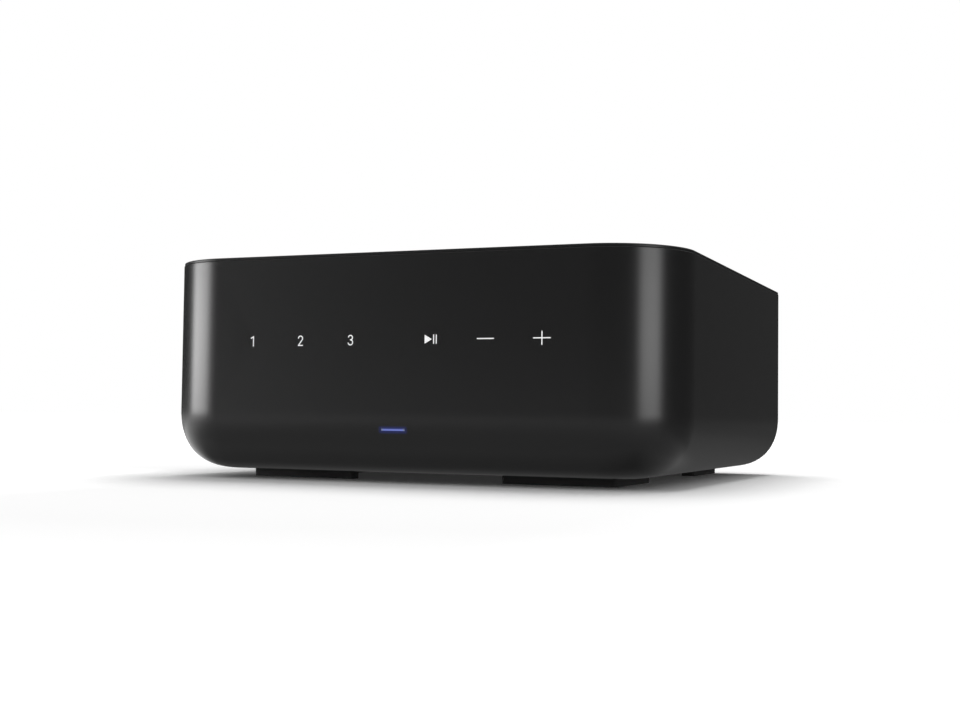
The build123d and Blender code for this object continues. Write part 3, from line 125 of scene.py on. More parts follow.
# Each plain slot's colour, its roughness, and where it differs from an ordinary finish
FINISHES = {
    "panel_black": ((0.016, 0.016, 0.0165), 0.5, dict(grain=0.45, relief=0.35)),
    "foot_rubber": ((0.020, 0.020, 0.020), 0.75, dict(relief=0.3)),
    "plated_steel": ((0.62, 0.62, 0.60), 0.32, dict(metallic=1.0, grain=2.5, relief=0.03)),
    "screw_steel": ((0.55, 0.55, 0.54), 0.3, dict(metallic=1.0, relief=0.04)),
    "screw_black": ((0.03, 0.03, 0.032), 0.38, dict(metallic=0.6, grain=0.2, relief=0.15)),
    "chip_black": ((0.02, 0.02, 0.022), 0.6, dict(grain=0.15, relief=0.3)),
    "aluminium": ((0.72, 0.73, 0.74), 0.36, dict(metallic=1.0, stretch=(1, 0.03, 1))),
    "capacitor_sleeve": ((0.02, 0.03, 0.06), 0.3, dict()),
    "ferrite": ((0.06, 0.06, 0.062), 0.55, dict(relief=0.3)),
    "copper_winding": ((0.62, 0.22, 0.08), 0.28, dict(metallic=1.0, grain=0.6, relief=0.6)),
    "nickel": ((0.66, 0.64, 0.60), 0.28, dict(metallic=1.0, relief=0.02, vary=0.03)),
    "gold": ((0.85, 0.60, 0.26), 0.2, dict(metallic=1.0, relief=0.02, vary=0.03)),
    "black_plastic": ((0.014, 0.014, 0.015), 0.36, dict(grain=0.25, relief=0.08)),
    "red_plastic": ((0.42, 0.012, 0.010), 0.3, dict(grain=0.2)),
    "white_plastic": ((0.78, 0.77, 0.74), 0.35, dict(grain=0.2, vary=0.03)),
    "cable_black": ((0.015, 0.015, 0.015), 0.5, dict()),
    "ribbon_white": ((0.75, 0.75, 0.72), 0.4, dict(grain=0.5, stretch=(8, 0.1, 0.1))),
    "board_green": ((0.012, 0.10, 0.035), 0.35, dict(grain=0.8, relief=0.3)),
}


def length(name, description, millimetres):
    """A property that holds a length."""
    return FloatProperty(
        name=name,
        description=description,
        default=millimetres * MM,
        min=0.0,
        unit="LENGTH",
        subtype="DISTANCE",
        precision=5,
    )


def amount(name, description, default, low=0.0):
    """A property that holds a plain number."""
    return FloatProperty(name=name, description=description, default=default, min=low)


def share(name, description, default):
    """A property that holds a number from 0 to 1."""
    limits = {"min": 0.0, "max": 1.0, "subtype": "FACTOR"}
    return FloatProperty(name=name, description=description, default=default, **limits)


def colour(name, description, value):
    """A property that holds a linear colour."""
    return FloatVectorProperty(
        name=name, description=description, default=value, size=3, min=0.0, soft_max=1.0, subtype="COLOR"
    )


class AMP_PG_casing(PropertyGroup):
    """Sizes and finish of the housing, lid and feet."""

    corner_radius: length("Corner radius", "Radius of the upright front corners", 31.8)
    bottom_radius: length("Bottom radius", "Radius of the lower edge inside, with the wall", 22.9)
    bottom_sweep: length("Bottom sweep", "Reach of the lower edge's soft outer curve", 24.0)
    sweep_power: amount("Sweep power", "Fullness of that curve, 2 is round", 2.35, 2.0)
    wall: length("Wall", "Thickness of the housing's wall", 2.5)
    rim_round: length("Rim round", "Softening of the rim's edges", 0.25)
    lid_inset: length("Lid inset", "How far the lid stands in from the housing", 0.2)
    lid_round: length("Lid round", "Radius of the lid's upper edge", 0.4)
    body_colour: colour("Body colour", "Colour of the moulded housing and lid", (0.0080, 0.0080, 0.0081))
    body_roughness: share("Body roughness", "Roughness of the satin finish", 0.27)
    body_specular: share("Body gloss level", "Strength of the satin finish's gloss", 0.5)
    arc_steps: IntProperty(name="Arc steps", description="Faces along each quarter turn", default=40, min=8)
    foot_grow: length("Foot growth", "How far a foot's outer side stands out past the plain pad", 0.5)
    foot_forward: length("Foot forward", "How far a front foot reaches out in front of the plain pad", 3.0)
    foot_bar: length("Foot bar", "Width of the raised bar along a foot's two outer sides", 6.2)
    foot_round: length("Foot corners", "Radius of a foot's upright corners", 1.6)
    foot_ease: length("Foot edge", "Rounding of a foot's lower edge", 0.5)


class AMP_PG_front(PropertyGroup):
    """Sizes and glow of the symbols and the status lamp."""

    symbol_colour: colour("Symbol colour", "Colour of the lit touch symbols", (0.82, 0.82, 0.82))
    symbol_glow: amount("Symbol glow", "Light that a symbol gives", 0.55)
    symbol_thin: length("Symbol margin", "How much finer a stroke is on each side", 0.085)
    symbol_drop: length("Symbol drop", "How far the row lies below the plain one", 0.27)
    lamp_width: length("Lamp width", "Width of the lamp's bar", 9.8)
    lamp_height: length("Lamp height", "Height of the lamp's bar", 1.1)
    lamp_x: length("Lamp across", "Middle of the lamp, right of the centre", 1.3)
    lamp_z: length("Lamp level", "Middle of the lamp above the floor", 20.6)
    lamp_core_drop: length("Core drop", "How far the lamp's brightest line lies below its middle", 0.19)
    lamp_colour: colour("Lamp colour", "Colour of the lamp's bar", (0.06, 0.11, 0.62))


class AMP_PG_rear(PropertyGroup):
    """Colours of the plastics and printed marks, and the ribs of the posts' caps."""

    print_colour: colour("Print colour", "Colour of the printed marks", (0.72, 0.72, 0.70))
    cap_ribs: IntProperty(name="Cap ribs", description="Ribs round a post's cap", default=18, min=3)
    red_plastic: colour("Red", "Colour of the red plastic", FINISHES["red_plastic"][0])
    black_plastic: colour("Black", "Colour of the black plastic", FINISHES["black_plastic"][0])


class AMP_PG_stage(PropertyGroup):
    """Light, floor and the tent that shows in gloss."""

    ambient: amount("Ambient", "Light from all round", 0.5)
    key_power: amount("Key", "Power of the soft light overhead", 8.0)
    floor_colour: colour("Floor colour", "Colour of the pale floor", (0.80, 0.80, 0.80))
    floor_lift: amount("Floor lift", "How much paler the camera sees the floor", 1.38)
    sweep_lift: amount("Sweep", "How much paler the far floor is than the near", 2.1)
    # Painted light that lightens the object's shadow on the floor in front on the left, and half as much to
    # the right
    side_lift: amount("Side lift", "How much paler the camera sees the floor in front on the left", 1.25)
    shadow_tone: share("Shadow tone", "Grey of the deepest shadow", 0.018)
    left_strip: amount("Left strip", "Glow of the bright strip on the left", 8.6)
    right_strip: amount("Right strip", "Glow of the bright strip on the right", 4.6)
    tent_radius: length("Tent radius", "Radius of the tent that shows in gloss", 1600.0)
    tent_height: length("Tent height", "Height of the tent that shows in gloss", 1500.0)


# Meshes


def linked(name, data):
    """A new object in the scene."""
    made = bpy.data.objects.new(name, data)
    bpy.context.scene.collection.objects.link(made)
    return made


def taken(holder, *helpers):
    """The final mesh of an object, which is then removed with its helpers."""
    graph = bpy.context.evaluated_depsgraph_get()
    final = holder.evaluated_get(graph)
    result = bpy.data.meshes.new_from_object(final, preserve_all_data_layers=True, depsgraph=graph)
    for item in (holder, *helpers):
        bpy.data.objects.remove(item)
    return result


def mesh_from(bm, name):
    """Turns a bmesh into a mesh and frees it."""
    mesh = bpy.data.meshes.new(name)
    bm.to_mesh(mesh)
    bm.free()
    return mesh


def closed_mesh(bm, name):
    """Turns a bmesh of closed forms into a mesh with its faces outwards."""
    bmesh.ops.recalc_face_normals(bm, faces=bm.faces)
    return mesh_from(bm, name)


def evaluated(mesh, kind, settings, *helpers):
    """The mesh after one modifier."""
    carrier = linked("carrier", mesh)
    modifier = carrier.modifiers.new(kind, kind)
    for key, value in settings.items():
        setattr(modifier, key, value)
    return taken(carrier, *helpers)


def shaded(mesh, angle=32):
    """Smooth shading that keeps sharp edges and flat faces."""
    mesh.shade_smooth()
    mesh.set_sharp_from_angle(angle=math.radians(angle))
    return evaluated(mesh, "WEIGHTED_NORMAL", {"keep_sharp": True, "weight": 100})


def softened(mesh, width, segments=2, angle=32):
    """The mesh with its sharp edges rounded."""
    bevel = {
        "width": width,
        "segments": segments,
        "limit_method": "ANGLE",
        "angle_limit": math.radians(angle),
        "miter_outer": "MITER_ARC",
    }
    return shaded(evaluated(mesh, "BEVEL", bevel), angle)


def combined(mesh, other, operation):
    """The exact union or difference of two meshes."""
    tool = linked("tool", other)
    return evaluated(mesh, "BOOLEAN", {"object": tool, "operation": operation, "solver": "EXACT"}, tool)


def piece(name, mesh, material, body=ROOT, replaces=()):
    """Puts a finished mesh on its body, with its finish and the nodes that it stands for."""
    mesh.materials.clear()
    mesh.materials.append(material)
    made = linked(name, mesh)
    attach(made, body)
    if replaces:
        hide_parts(*replaces)


def coated_piece(name, mesh, slot, body=ROOT, replaces=()):
    """Puts a finished mesh on its body with its slot's own finish."""
    piece(name, mesh, finish_for(slot), body, replaces)


def box(bm, x_span, y_span, z_span):
    """Adds a box between two X, two Y and two Z values, in millimetres."""
    low, high = (Vector(corner) * MM for corner in zip(x_span, y_span, z_span))
    place = Matrix.Translation((low + high) / 2) @ Matrix.Diagonal((*(high - low), 1.0))
    bmesh.ops.create_cube(bm, size=1.0, matrix=place)


def around(x, half):
    """The span about a value."""
    return (x - half, x + half)


def tube(bm, centre, radius, depth, axis="Z", sides=48):
    """Adds a cylinder along Y or Z, in millimetres, centred on its middle."""
    turn = Matrix.Rotation(-math.pi / 2, 4, "X") if axis == "Y" else Matrix.Identity(4)
    bmesh.ops.create_cone(
        bm,
        cap_ends=True,
        segments=sides,
        radius1=radius * MM,
        radius2=radius * MM,
        depth=depth * MM,
        matrix=Matrix.Translation(Vector(centre) * MM) @ turn,
    )


def band(bm, first, second):
    """Faces between two closed rims; a rim of one vertex closes an end."""
    count = max(len(first), len(second))
    for index in range(count):
        after = (index + 1) % count
        lower = [first[index % len(first)], first[after % len(first)]]
        upper = [second[after % len(second)], second[index % len(second)]]
        bm.faces.new(dict.fromkeys(lower + upper))


def prism(bm, outline, low, high, axis="Y", taper=1.0):
    """Adds a prism between two levels of an axis, in millimetres; its low end is scaled by taper."""
    ends = []
    for level, scale in ((low, taper), (high, 1.0)):
        rim = []
        for first, second in outline:
            a, b = first * scale, second * scale
            place = {"X": (level, a, b), "Y": (a, level, b), "Z": (a, b, level)}[axis]
            rim.append(bm.verts.new(Vector(place) * MM))
        bm.faces.new(rim)
        ends.append(rim)
    band(bm, *ends)


def prism_mesh(outline, low, high, axis="Y", taper=1.0):
    """A prism as a mesh of its own."""
    bm = bmesh.new()
    prism(bm, outline, low, high, axis, taper)
    return closed_mesh(bm, "prism")


def eased(profile, radius, steps=3):
    """A closed profile with its corners rounded."""
    points = [Vector(point) for point in profile]
    result = []
    for index, corner in enumerate(points):
        before = points[index - 1] - corner
        after = points[(index + 1) % len(points)] - corner
        reach = min(radius, before.length * 0.45, after.length * 0.45)
        start, end = corner + before.normalized() * reach, corner + after.normalized() * reach
        for step in range(steps + 1):
            t = step / steps
            result.append(tuple(start * (1 - t) ** 2 + corner * 2 * t * (1 - t) + end * t * t))
    return result


def turned(profile, sides=64, closed=False, centre=(0, 0, 0)):
    """A form turned about Y from (radius, y) pairs in millimetres; a radius of 0 closes an end."""
    bm = bmesh.new()
    rims = []
    for radius, along in profile:
        rim = []
        for index in range(sides if radius > 0 else 1):
            angle = 2 * math.pi * index / sides
            offset = Vector((radius * math.cos(angle), along, radius * math.sin(angle)))
            rim.append(bm.verts.new((Vector(centre) + offset) * MM))
        rims.append(rim)
    for first, second in zip(rims, rims[1:]):
        band(bm, first, second)
    if closed:
        band(bm, rims[-1], rims[0])
    return closed_mesh(bm, "turned")


def moved(mesh, x, y, z):
    """A copy of a mesh, moved by millimetres."""
    copy = mesh.copy()
    copy.transform(Matrix.Translation(Vector((x, y, z)) * MM))
    return copy


def joined(*meshes):
    """Several meshes as one."""
    bm = bmesh.new()
    for mesh in meshes:
        bm.from_mesh(mesh)
    return mesh_from(bm, "joined")


def solids(name):
    """Each solid of a CAD node as its own merged mesh, the largest first: its triangles follow each other."""
    whole = bmesh.new()
    whole.from_mesh(frame["nodes"][name].data)
    same = bmesh.ops.find_doubles(whole, verts=whole.verts, dist=1e-6)["targetmap"]
    meshes, triangles, loose_ends = [], [], set()
    for face in whole.faces:
        rim = [same.get(vertex, vertex) for vertex in face.verts]
        triangles.append(rim)
        for first, second in zip(rim, rim[1:] + rim[:1]):
            if (second.index, first.index) in loose_ends:
                loose_ends.remove((second.index, first.index))
            elif first != second:
                loose_ends.add((first.index, second.index))
        if not loose_ends:
            meshes.append(mesh_of(triangles, name))
            triangles = []
    if triangles:
        raise RuntimeError(f"{name} has a solid that does not close")
    whole.free()
    return sorted(meshes, key=mesh_size, reverse=True)


def mesh_of(triangles, name):
    """A merged mesh of triangles, its flat faces made whole."""
    part = bmesh.new()
    made = {}
    for rim in triangles:
        for vertex in rim:
            if vertex not in made:
                made[vertex] = part.verts.new(vertex.co)
        if len(set(rim)) == 3:
            part.faces.new([made[vertex] for vertex in rim])
    bmesh.ops.dissolve_limit(part, angle_limit=math.radians(0.4), verts=part.verts, edges=part.edges)
    return mesh_from(part, name)


def corners(mesh):
    """Lowest and highest corner of a mesh."""
    low = Vector([min(v.co[i] for v in mesh.vertices) for i in range(3)])
    high = Vector([max(v.co[i] for v in mesh.vertices) for i in range(3)])
    return low, high


def mesh_size(mesh):
    """The volume of a mesh's box."""
    low, high = corners(mesh)
    return math.prod(high - low)


def middle(name):
    """The middle of a CAD node's box, in millimetres."""
    low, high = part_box(name)
    return (low + high) / 2 / MM


# Materials


def material(name, tint, roughness, metallic=0.0):
    """A material with its shader set, and its tree."""
    made = bpy.data.materials.new(name)
    made.use_nodes = True
    shader = made.node_tree.nodes["Principled BSDF"]
    shader.inputs["Base Color"].default_value = (*tint, 1.0)
    shader.inputs["Roughness"].default_value = roughness
    shader.inputs["Metallic"].default_value = metallic
    made.diffuse_color = (*tint, 1.0)
    return made, made.node_tree, shader


def node(tree, kind, settings=None, **values):
    """Adds a node with its settings and input values, i0 for the first; a socket as value is linked."""
    made = tree.nodes.new(kind)
    for key, value in (settings or {}).items():
        setattr(made, key, value)
    for key, value in values.items():
        numbered = key[0] == "i" and key[1:].isdigit()
        slot = made.inputs[int(key[1:])] if numbered else made.inputs[key.replace("_", " ")]
        if isinstance(value, bpy.types.NodeSocket):
            tree.links.new(value, slot)
        else:
            slot.default_value = value
    return made


def calc(tree, operation, first, second=0.0):
    """The result of a sum on one or two values."""
    return node(tree, "ShaderNodeMath", {"operation": operation}, i0=first, i1=second).outputs[0]


def vector_calc(tree, operation, **values):
    """The first result of a sum on vectors."""
    return node(tree, "ShaderNodeVectorMath", {"operation": operation}, **values).outputs[0]


def combine(tree, **values):
    """A vector from its parts."""
    return node(tree, "ShaderNodeCombineXYZ", **values).outputs[0]


def place_of(tree):
    """Where a point of the object lies, as a vector and as its X, Y and Z."""
    place = node(tree, "ShaderNodeTexCoord").outputs["Object"]
    return place, node(tree, "ShaderNodeSeparateXYZ", Vector=place).outputs


def noise(tree, size, detail=3.0, stretch=(1, 1, 1)):
    """A noise pattern of a size in metres."""
    scale = [s / size for s in stretch]
    place = node(tree, "ShaderNodeMapping", Vector=place_of(tree)[0], Scale=scale).outputs[0]
    pattern = node(tree, "ShaderNodeTexNoise", Vector=place, Scale=1.0, Detail=detail, Roughness=0.55)
    return pattern.outputs["Fac"]


def spread(tree, source, low, high, start=0.3, end=0.7, curve="LINEAR"):
    """Maps start to end onto low to high; the usual start and end are those of a noise pattern."""
    ends = {"From_Min": start, "From_Max": end, "To_Min": low, "To_Max": high}
    return node(tree, "ShaderNodeMapRange", {"interpolation_type": curve}, Value=source, **ends).outputs[0]


def mixed(tree, factor, first, second):
    """A colour between two colours."""
    mix = node(tree, "ShaderNodeMix", {"data_type": "RGBA"}, i0=factor)
    for index, value in ((6, first), (7, second)):
        if isinstance(value, bpy.types.NodeSocket):
            tree.links.new(value, mix.inputs[index])
        else:
            mix.inputs[index].default_value = (*value[:3], 1.0)
    return mix.outputs[2]


def finish(
    name,
    tint,
    roughness,
    metallic=0.0,
    grain=0.3,
    relief=0.1,
    vary=0.05,
    rough_vary=0.03,
    stretch=(1, 1, 1),
    specular=0.5,
):
    """A finish with fine grain, slight changes of tone and slight changes of gloss."""
    made, tree, shader = material(name, tint, roughness, metallic)
    shader.inputs["Specular IOR Level"].default_value = specular
    fine = noise(tree, grain * MM, 2.0, stretch)
    broad = noise(tree, 14 * MM)
    darker = [c * (1 - vary) for c in tint]
    lighter = [min(1.0, c * (1 + vary)) for c in tint]
    bump = node(tree, "ShaderNodeBump", Strength=relief, Distance=grain * MM * 0.2, Height=fine)
    gloss = spread(tree, broad, max(0.02, roughness - rough_vary), min(1.0, roughness + rough_vary))
    tone = mixed(tree, spread(tree, broad, 0, 1), darker, lighter)
    for label, source in (("Base Color", tone), ("Roughness", gloss), ("Normal", bump.outputs[0])):
        tree.links.new(source, shader.inputs[label])
    return made


@functools.cache
def finish_for(slot):
    """The finish of a material slot, made once; the rear's settings hold the colour of some."""
    special = {
        "housing_black": housing_finish,
        "lid_black": lid_finish,
        "symbol_white": symbol_finish,
        "lamp_clear": lamp_finish,
    }
    if slot in special:
        return special[slot](slot)
    tint, roughness, more = FINISHES[slot]
    tint = getattr(bpy.context.scene.amp_rear, slot, tint)
    return finish(slot, tuple(tint), roughness, **more)


def satin(name, rougher=0.0, gloss=1.0):
    """Satin moulded black, even in tone, with a very fine grain."""
    casing = bpy.context.scene.amp_casing
    roughness = casing.body_roughness + rougher
    specular = casing.body_specular * gloss
    even = {"grain": 0.4, "relief": 0.015, "vary": 0.02, "rough_vary": 0.002}
    return finish(name, tuple(casing.body_colour), roughness, specular=specular, **even)


def lid_finish(name):
    """The satin black of the lid, a little duller than the housing's."""
    return satin(name, rougher=0.09, gloss=0.7)


def lamp_offsets(tree):
    """How far a point lies from the lamp's middle across and its brightest line up or down, and its Y."""
    front = bpy.context.scene.amp_front
    parts = place_of(tree)[1]
    across = calc(tree, "SUBTRACT", parts["X"], front.lamp_x)
    above = calc(tree, "SUBTRACT", parts["Z"], front.lamp_z - front.lamp_core_drop)
    return calc(tree, "ABSOLUTE", across), calc(tree, "ABSOLUTE", above), parts["Y"]


def housing_finish(name):
    """The satin black of the housing, with the lamp's glow painted on the wall round it: the wall itself
    gives a faint blue light there.
    """
    front = bpy.context.scene.amp_front
    made = satin(name)
    tree = made.node_tree
    across, above, _ = lamp_offsets(tree)
    squares = []
    for away, size, reach in ((across, front.lamp_width, 1.6), (above, front.lamp_height, 1.3)):
        beyond = spread(tree, away, 0.0, 1.0, size / 2, size / 2 + reach * MM)
        squares.append(calc(tree, "POWER", beyond, 2.0))
    near = calc(tree, "SQRT", calc(tree, "ADD", *squares))
    # Painted glow: the housing emits blue light of its own round the lamp's bar, fading with distance from it
    shader = tree.nodes["Principled BSDF"]
    shader.inputs["Emission Color"].default_value = (0.05, 0.10, 0.80, 1.0)
    glow = spread(tree, near, 0.08, 0.0, 0.0, 1.0, "SMOOTHERSTEP")
    tree.links.new(glow, shader.inputs["Emission Strength"])
    return made


def symbol_finish(name):
    """White light-passing plastic, lit from behind a little unevenly."""
    front = bpy.context.scene.amp_front
    made = finish(name, tuple(front.symbol_colour), roughness=0.4, grain=0.2, relief=0.05, vary=0.03)
    tree = made.node_tree
    shader = tree.nodes["Principled BSDF"]
    shader.inputs["Emission Color"].default_value = (*front.symbol_colour, 1.0)
    glow = spread(tree, noise(tree, 3 * MM), front.symbol_glow * 0.92, front.symbol_glow * 1.08)
    tree.links.new(glow, shader.inputs["Emission Strength"])
    return made


def lamp_finish(name):
    """Clear bar lit blue, brightest along its middle, paler at its ends and dark behind the wall."""
    front = bpy.context.scene.amp_front
    made, tree, shader = material(name, tint=(0.03, 0.035, 0.09), roughness=0.25)
    across, above, depth = lamp_offsets(tree)
    half = front.lamp_width / 2
    core = spread(tree, above, 0.0, 1.0, 0.08 * MM, 0.54 * MM, "SMOOTHSTEP")
    end = spread(tree, across, 0.0, 1.0, half - 1.3 * MM, half, "SMOOTHSTEP")
    blue = mixed(tree, core, (0.17, 0.215, 0.60), tuple(front.lamp_colour))
    tree.links.new(mixed(tree, end, blue, (0.19, 0.23, 0.34)), shader.inputs["Emission Color"])
    strength = spread(tree, core, 0.86, 0.18, 0.0, 1.0, "SMOOTHSTEP")
    shown = spread(tree, depth, 1.0, 0.0, FRONT + 1.4 * MM, FRONT + 2.4 * MM)
    tree.links.new(calc(tree, "MULTIPLY", strength, shown), shader.inputs["Emission Strength"])
    return made


# Copies by Geometry Nodes


def row_points(tree, inputs):
    """Points of a straight row, evenly spaced about the origin."""
    half = calc(tree, "MULTIPLY", calc(tree, "SUBTRACT", inputs["Count"], 1.0), -0.5)
    start = vector_calc(tree, "SCALE", i0=inputs["Step"], Scale=half)
    run = {"Count": inputs["Count"], "Start_Location": start, "Offset": inputs["Step"]}
    return {"Points": node(tree, "GeometryNodeMeshLine", **run).outputs[0]}


def ring_points(tree, inputs):
    """Points of a ring round Y, each turned to face outwards."""
    line = node(tree, "GeometryNodeMeshLine", Count=inputs["Count"], Offset=(0, 0, 0)).outputs[0]
    step = calc(tree, "DIVIDE", 2 * math.pi, inputs["Count"])
    angle = calc(tree, "MULTIPLY", node(tree, "GeometryNodeInputIndex").outputs[0], step)
    out = {"Vector": combine(tree, Z=inputs["Radius"]), "Axis": (0, 1, 0), "Angle": angle}
    place = node(tree, "ShaderNodeVectorRotate", {"rotation_type": "AXIS_ANGLE"}, **out).outputs[0]
    points = node(tree, "GeometryNodeSetPosition", Geometry=line, Position=place).outputs[0]
    return {"Points": points, "Rotation": combine(tree, Y=angle)}


def chance_points(tree, inputs):
    """The points of a mesh, each turned about Y by chance."""
    places = node(tree, "GeometryNodeObjectInfo", Object=inputs["Places"])
    chance = node(tree, "FunctionNodeRandomValue", i2=0.0, i3=inputs["Turn"], i8=inputs["Seed"])
    return {"Points": places.outputs["Geometry"], "Rotation": combine(tree, Y=chance.outputs[1])}


LAYOUTS = {
    "Row of copies": (row_points, {"Count": "Int", "Step": "Vector"}),
    "Ring of copies": (ring_points, {"Count": "Int", "Radius": "Float"}),
    "Copies at places": (chance_points, {"Places": "Object", "Turn": "Float", "Seed": "Int"}),
}


def layout_tree(name):
    """The node tree of a layout, made once: copies of a shape at its points, made real and coated."""
    if name in bpy.data.node_groups:
        return bpy.data.node_groups[name]
    points, sockets = LAYOUTS[name]
    tree = bpy.data.node_groups.new(name, "GeometryNodeTree")
    tree.interface.new_socket(name="Geometry", in_out="OUTPUT", socket_type="NodeSocketGeometry")
    for label, kind in {"Shape": "Object", **sockets, "Material": "Material"}.items():
        tree.interface.new_socket(name=label, in_out="INPUT", socket_type=f"NodeSocket{kind}")
    inputs = tree.nodes.new("NodeGroupInput").outputs
    shape = node(tree, "GeometryNodeObjectInfo", Object=inputs["Shape"]).outputs["Geometry"]
    copies = node(tree, "GeometryNodeInstanceOnPoints", Instance=shape, **points(tree, inputs))
    real = node(tree, "GeometryNodeRealizeInstances", Geometry=copies.outputs[0])
    coated = node(tree, "GeometryNodeSetMaterial", Geometry=real.outputs[0], Material=inputs["Material"])
    tree.links.new(coated.outputs[0], tree.nodes.new("NodeGroupOutput").inputs[0])
    return tree


def laid_out(layout, slot, **values):
    """The plain mesh that a layout makes from its named inputs."""
    tree = layout_tree(layout)
    carrier = linked("carrier", bpy.data.meshes.new("seed"))
    modifier = carrier.modifiers.new("Nodes", "NODES")
    modifier.node_group = tree
    sockets = {item.name: item.identifier for item in tree.interface.items_tree if item.in_out == "INPUT"}
    helpers = []
    for label, value in {**values, "Material": finish_for(slot)}.items():
        if isinstance(value, bpy.types.Mesh):
            value = linked("shape", value)
            helpers.append(value)
        modifier[sockets[label]] = value
    return taken(carrier, *helpers)


def row_of(shape, count, pitch, slot="black_plastic"):
    """A row of copies of a mesh along X, its pitch in millimetres."""
    return laid_out("Row of copies", slot, Shape=shape, Count=count, Step=(pitch * MM, 0, 0))


# Casing


def outline(inset, back):
    """The plan of the housing drawn in by an inset, from the rear left round the front to the rear right."""
    casing = bpy.context.scene.amp_casing
    half, radius = HOUSING_HIGH.x, casing.corner_radius
    arc = radius - inset
    points = [(inset - half, back)]
    for side, start in ((-1, math.pi), (1, 1.5 * math.pi)):
        x, y = side * (half - radius), FRONT + radius
        for step in range(casing.arc_steps + 1):
            angle = start + step / casing.arc_steps * math.pi / 2
            points.append((x + arc * math.cos(angle), y + arc * math.sin(angle)))
    points.append((half - inset, back))
    return points


def ring(bm, inset, level, back):
    """The vertices of an outline at a level."""
    return [bm.verts.new((x, y, level)) for x, y in outline(inset, back)]


def skin(bm, rings):
    """Quads between neighbouring rings."""
    for upper, lower in zip(rings, rings[1:]):
        for index in range(len(upper) - 1):
            bm.faces.new((upper[index], upper[index + 1], lower[index + 1], lower[index]))


def edge_profile(inset, top, radius, steps, inward=1):
    """Pairs of inset and level round a quarter turn that ends an upright wall at its top."""
    profile = []
    for step in range(steps + 1):
        angle = step / steps * math.pi / 2
        level = top - radius * (1 - math.cos(angle))
        profile.append((inset + inward * radius * (1 - math.sin(angle)), level))
    return profile


def wall_profile(inset, floor, radius, power, inward):
    """Pairs of inset and level from the rim down the wall and round the lower edge."""
    casing = bpy.context.scene.amp_casing
    profile = edge_profile(inset, RIM, casing.rim_round, 3, inward)
    for step in range(casing.arc_steps + 1):
        angle = math.pi / 2 * (1 - step / casing.arc_steps)
        across, down = math.sin(angle) ** (2 / power), math.cos(angle) ** (2 / power)
        profile.append((inset + radius * (1 - across), floor + radius * (1 - down)))
    return profile


def shell_mesh():
    """The tub: outer and inner skins joined at the rim and the open rear."""
    casing = bpy.context.scene.amp_casing
    bm = bmesh.new()
    floor, wall = HOUSING_LOW.z, casing.wall
    outside = wall_profile(0, floor, casing.bottom_sweep, casing.sweep_power, 1)
    inside = wall_profile(wall, floor + wall, casing.bottom_radius - wall, 2.0, -1)
    outer, inner = ([ring(bm, inset, level, BACK) for inset, level in side] for side in (outside, inside))
    for rings in (outer, inner, [outer[0], inner[0]]):
        skin(bm, rings)
    bm.faces.new(outer[-1])
    bm.faces.new(inner[-1])
    for end in (0, -1):
        for index in range(len(outer) - 1):
            bm.faces.new((outer[index][end], outer[index + 1][end], inner[index + 1][end], inner[index][end]))
    bm.faces.new((outer[-1][0], outer[-1][-1], inner[-1][-1], inner[-1][0]))
    return closed_mesh(bm, "shell")


def housing_ribs():
    """The catches, blocks and pads inside the housing."""
    bm = bmesh.new()
    catch_depths, catch_levels = (FRONT_MM + 1.25, FRONT_MM + 5), (78.4, 79.9)
    for x in CATCHES:
        box(bm, around(x, 6), catch_depths, catch_levels)
    half, inner, outer, floor = 4, 98, 107.25, 4.85
    for x, z in CORNER_BOSSES:
        across = sorted((math.copysign(inner, x), math.copysign(outer, x)))
        box(bm, across, BLOCK_DEPTHS, around(z, half))
    x, z = LOWER_BOSS
    box(bm, around(x, half), BLOCK_DEPTHS, (floor, z + half))
    lamp_depths = (FRONT_MM + 2.4, FRONT_MM + 13)
    for x, z in LAMP_SCREWS:
        box(bm, around(x, 3.5), lamp_depths, around(z, half))
    for place in FEET:
        x, y, _ = middle(f"foot_{place}")
        tube(bm, (x, y, 6.475), radius=7, depth=3.25)
    return mesh_from(bm, "ribs")


def symbols_mesh():
    """The six touch symbols, a little finer and lower than the plain inlays."""
    front = bpy.context.scene.amp_front
    bm = bmesh.new()
    bm.from_mesh(frame["nodes"]["front_symbols"].data)
    bmesh.ops.remove_doubles(bm, verts=bm.verts, dist=1e-6)
    bm.normal_update()
    inward = {}
    for vertex in bm.verts:
        sides = []
        for face in vertex.link_faces:
            if abs(face.normal.y) < 0.5 and all(face.normal.dot(other) < 0.9999 for other in sides):
                sides.append(face.normal.copy())
        mean = sum(sides, Vector()) / max(1, len(sides))
        inward[vertex] = mean / max(0.2, mean.length_squared)
    for vertex, way in inward.items():
        vertex.co -= way * front.symbol_thin
        vertex.co.z -= front.symbol_drop
    return mesh_from(bm, "symbols")


def housing_cutters():
    """What is cut from the housing: symbols, lamp and screw holes."""
    front = bpy.context.scene.amp_front
    bm = bmesh.new()
    bm.from_mesh(symbols_mesh())
    for vertex in bm.verts:
        lies_in_front = vertex.co.y < FRONT + 0.01 * MM
        if lies_in_front:
            vertex.co.y -= 0.3 * MM
    wide, tall = front.lamp_width / 2 / MM, front.lamp_height / 2 / MM
    lamp_level = front.lamp_z / MM
    box(bm, around(front.lamp_x / MM, wide), (FRONT_MM - 1, FRONT_MM + 5), around(lamp_level, tall))
    pilot, through, head = 1.55, 1.65, 3.2
    for x, z in (*CORNER_BOSSES, LOWER_BOSS):
        tube(bm, (x, PANEL_IN - 4.3, z), pilot, 8.75, "Y", sides=24)
    for x, z in LAMP_SCREWS:
        tube(bm, (x, FRONT_MM + 9.2, z), pilot, 8.2, "Y", sides=24)
    for place in FEET:
        x, y, _ = middle(f"foot_{place}")
        tube(bm, (x, y, 6.5), through, 6.2, sides=24)
        tube(bm, (x, y, 4.4), head, 2.0, sides=32)
    return mesh_from(bm, "cutters")


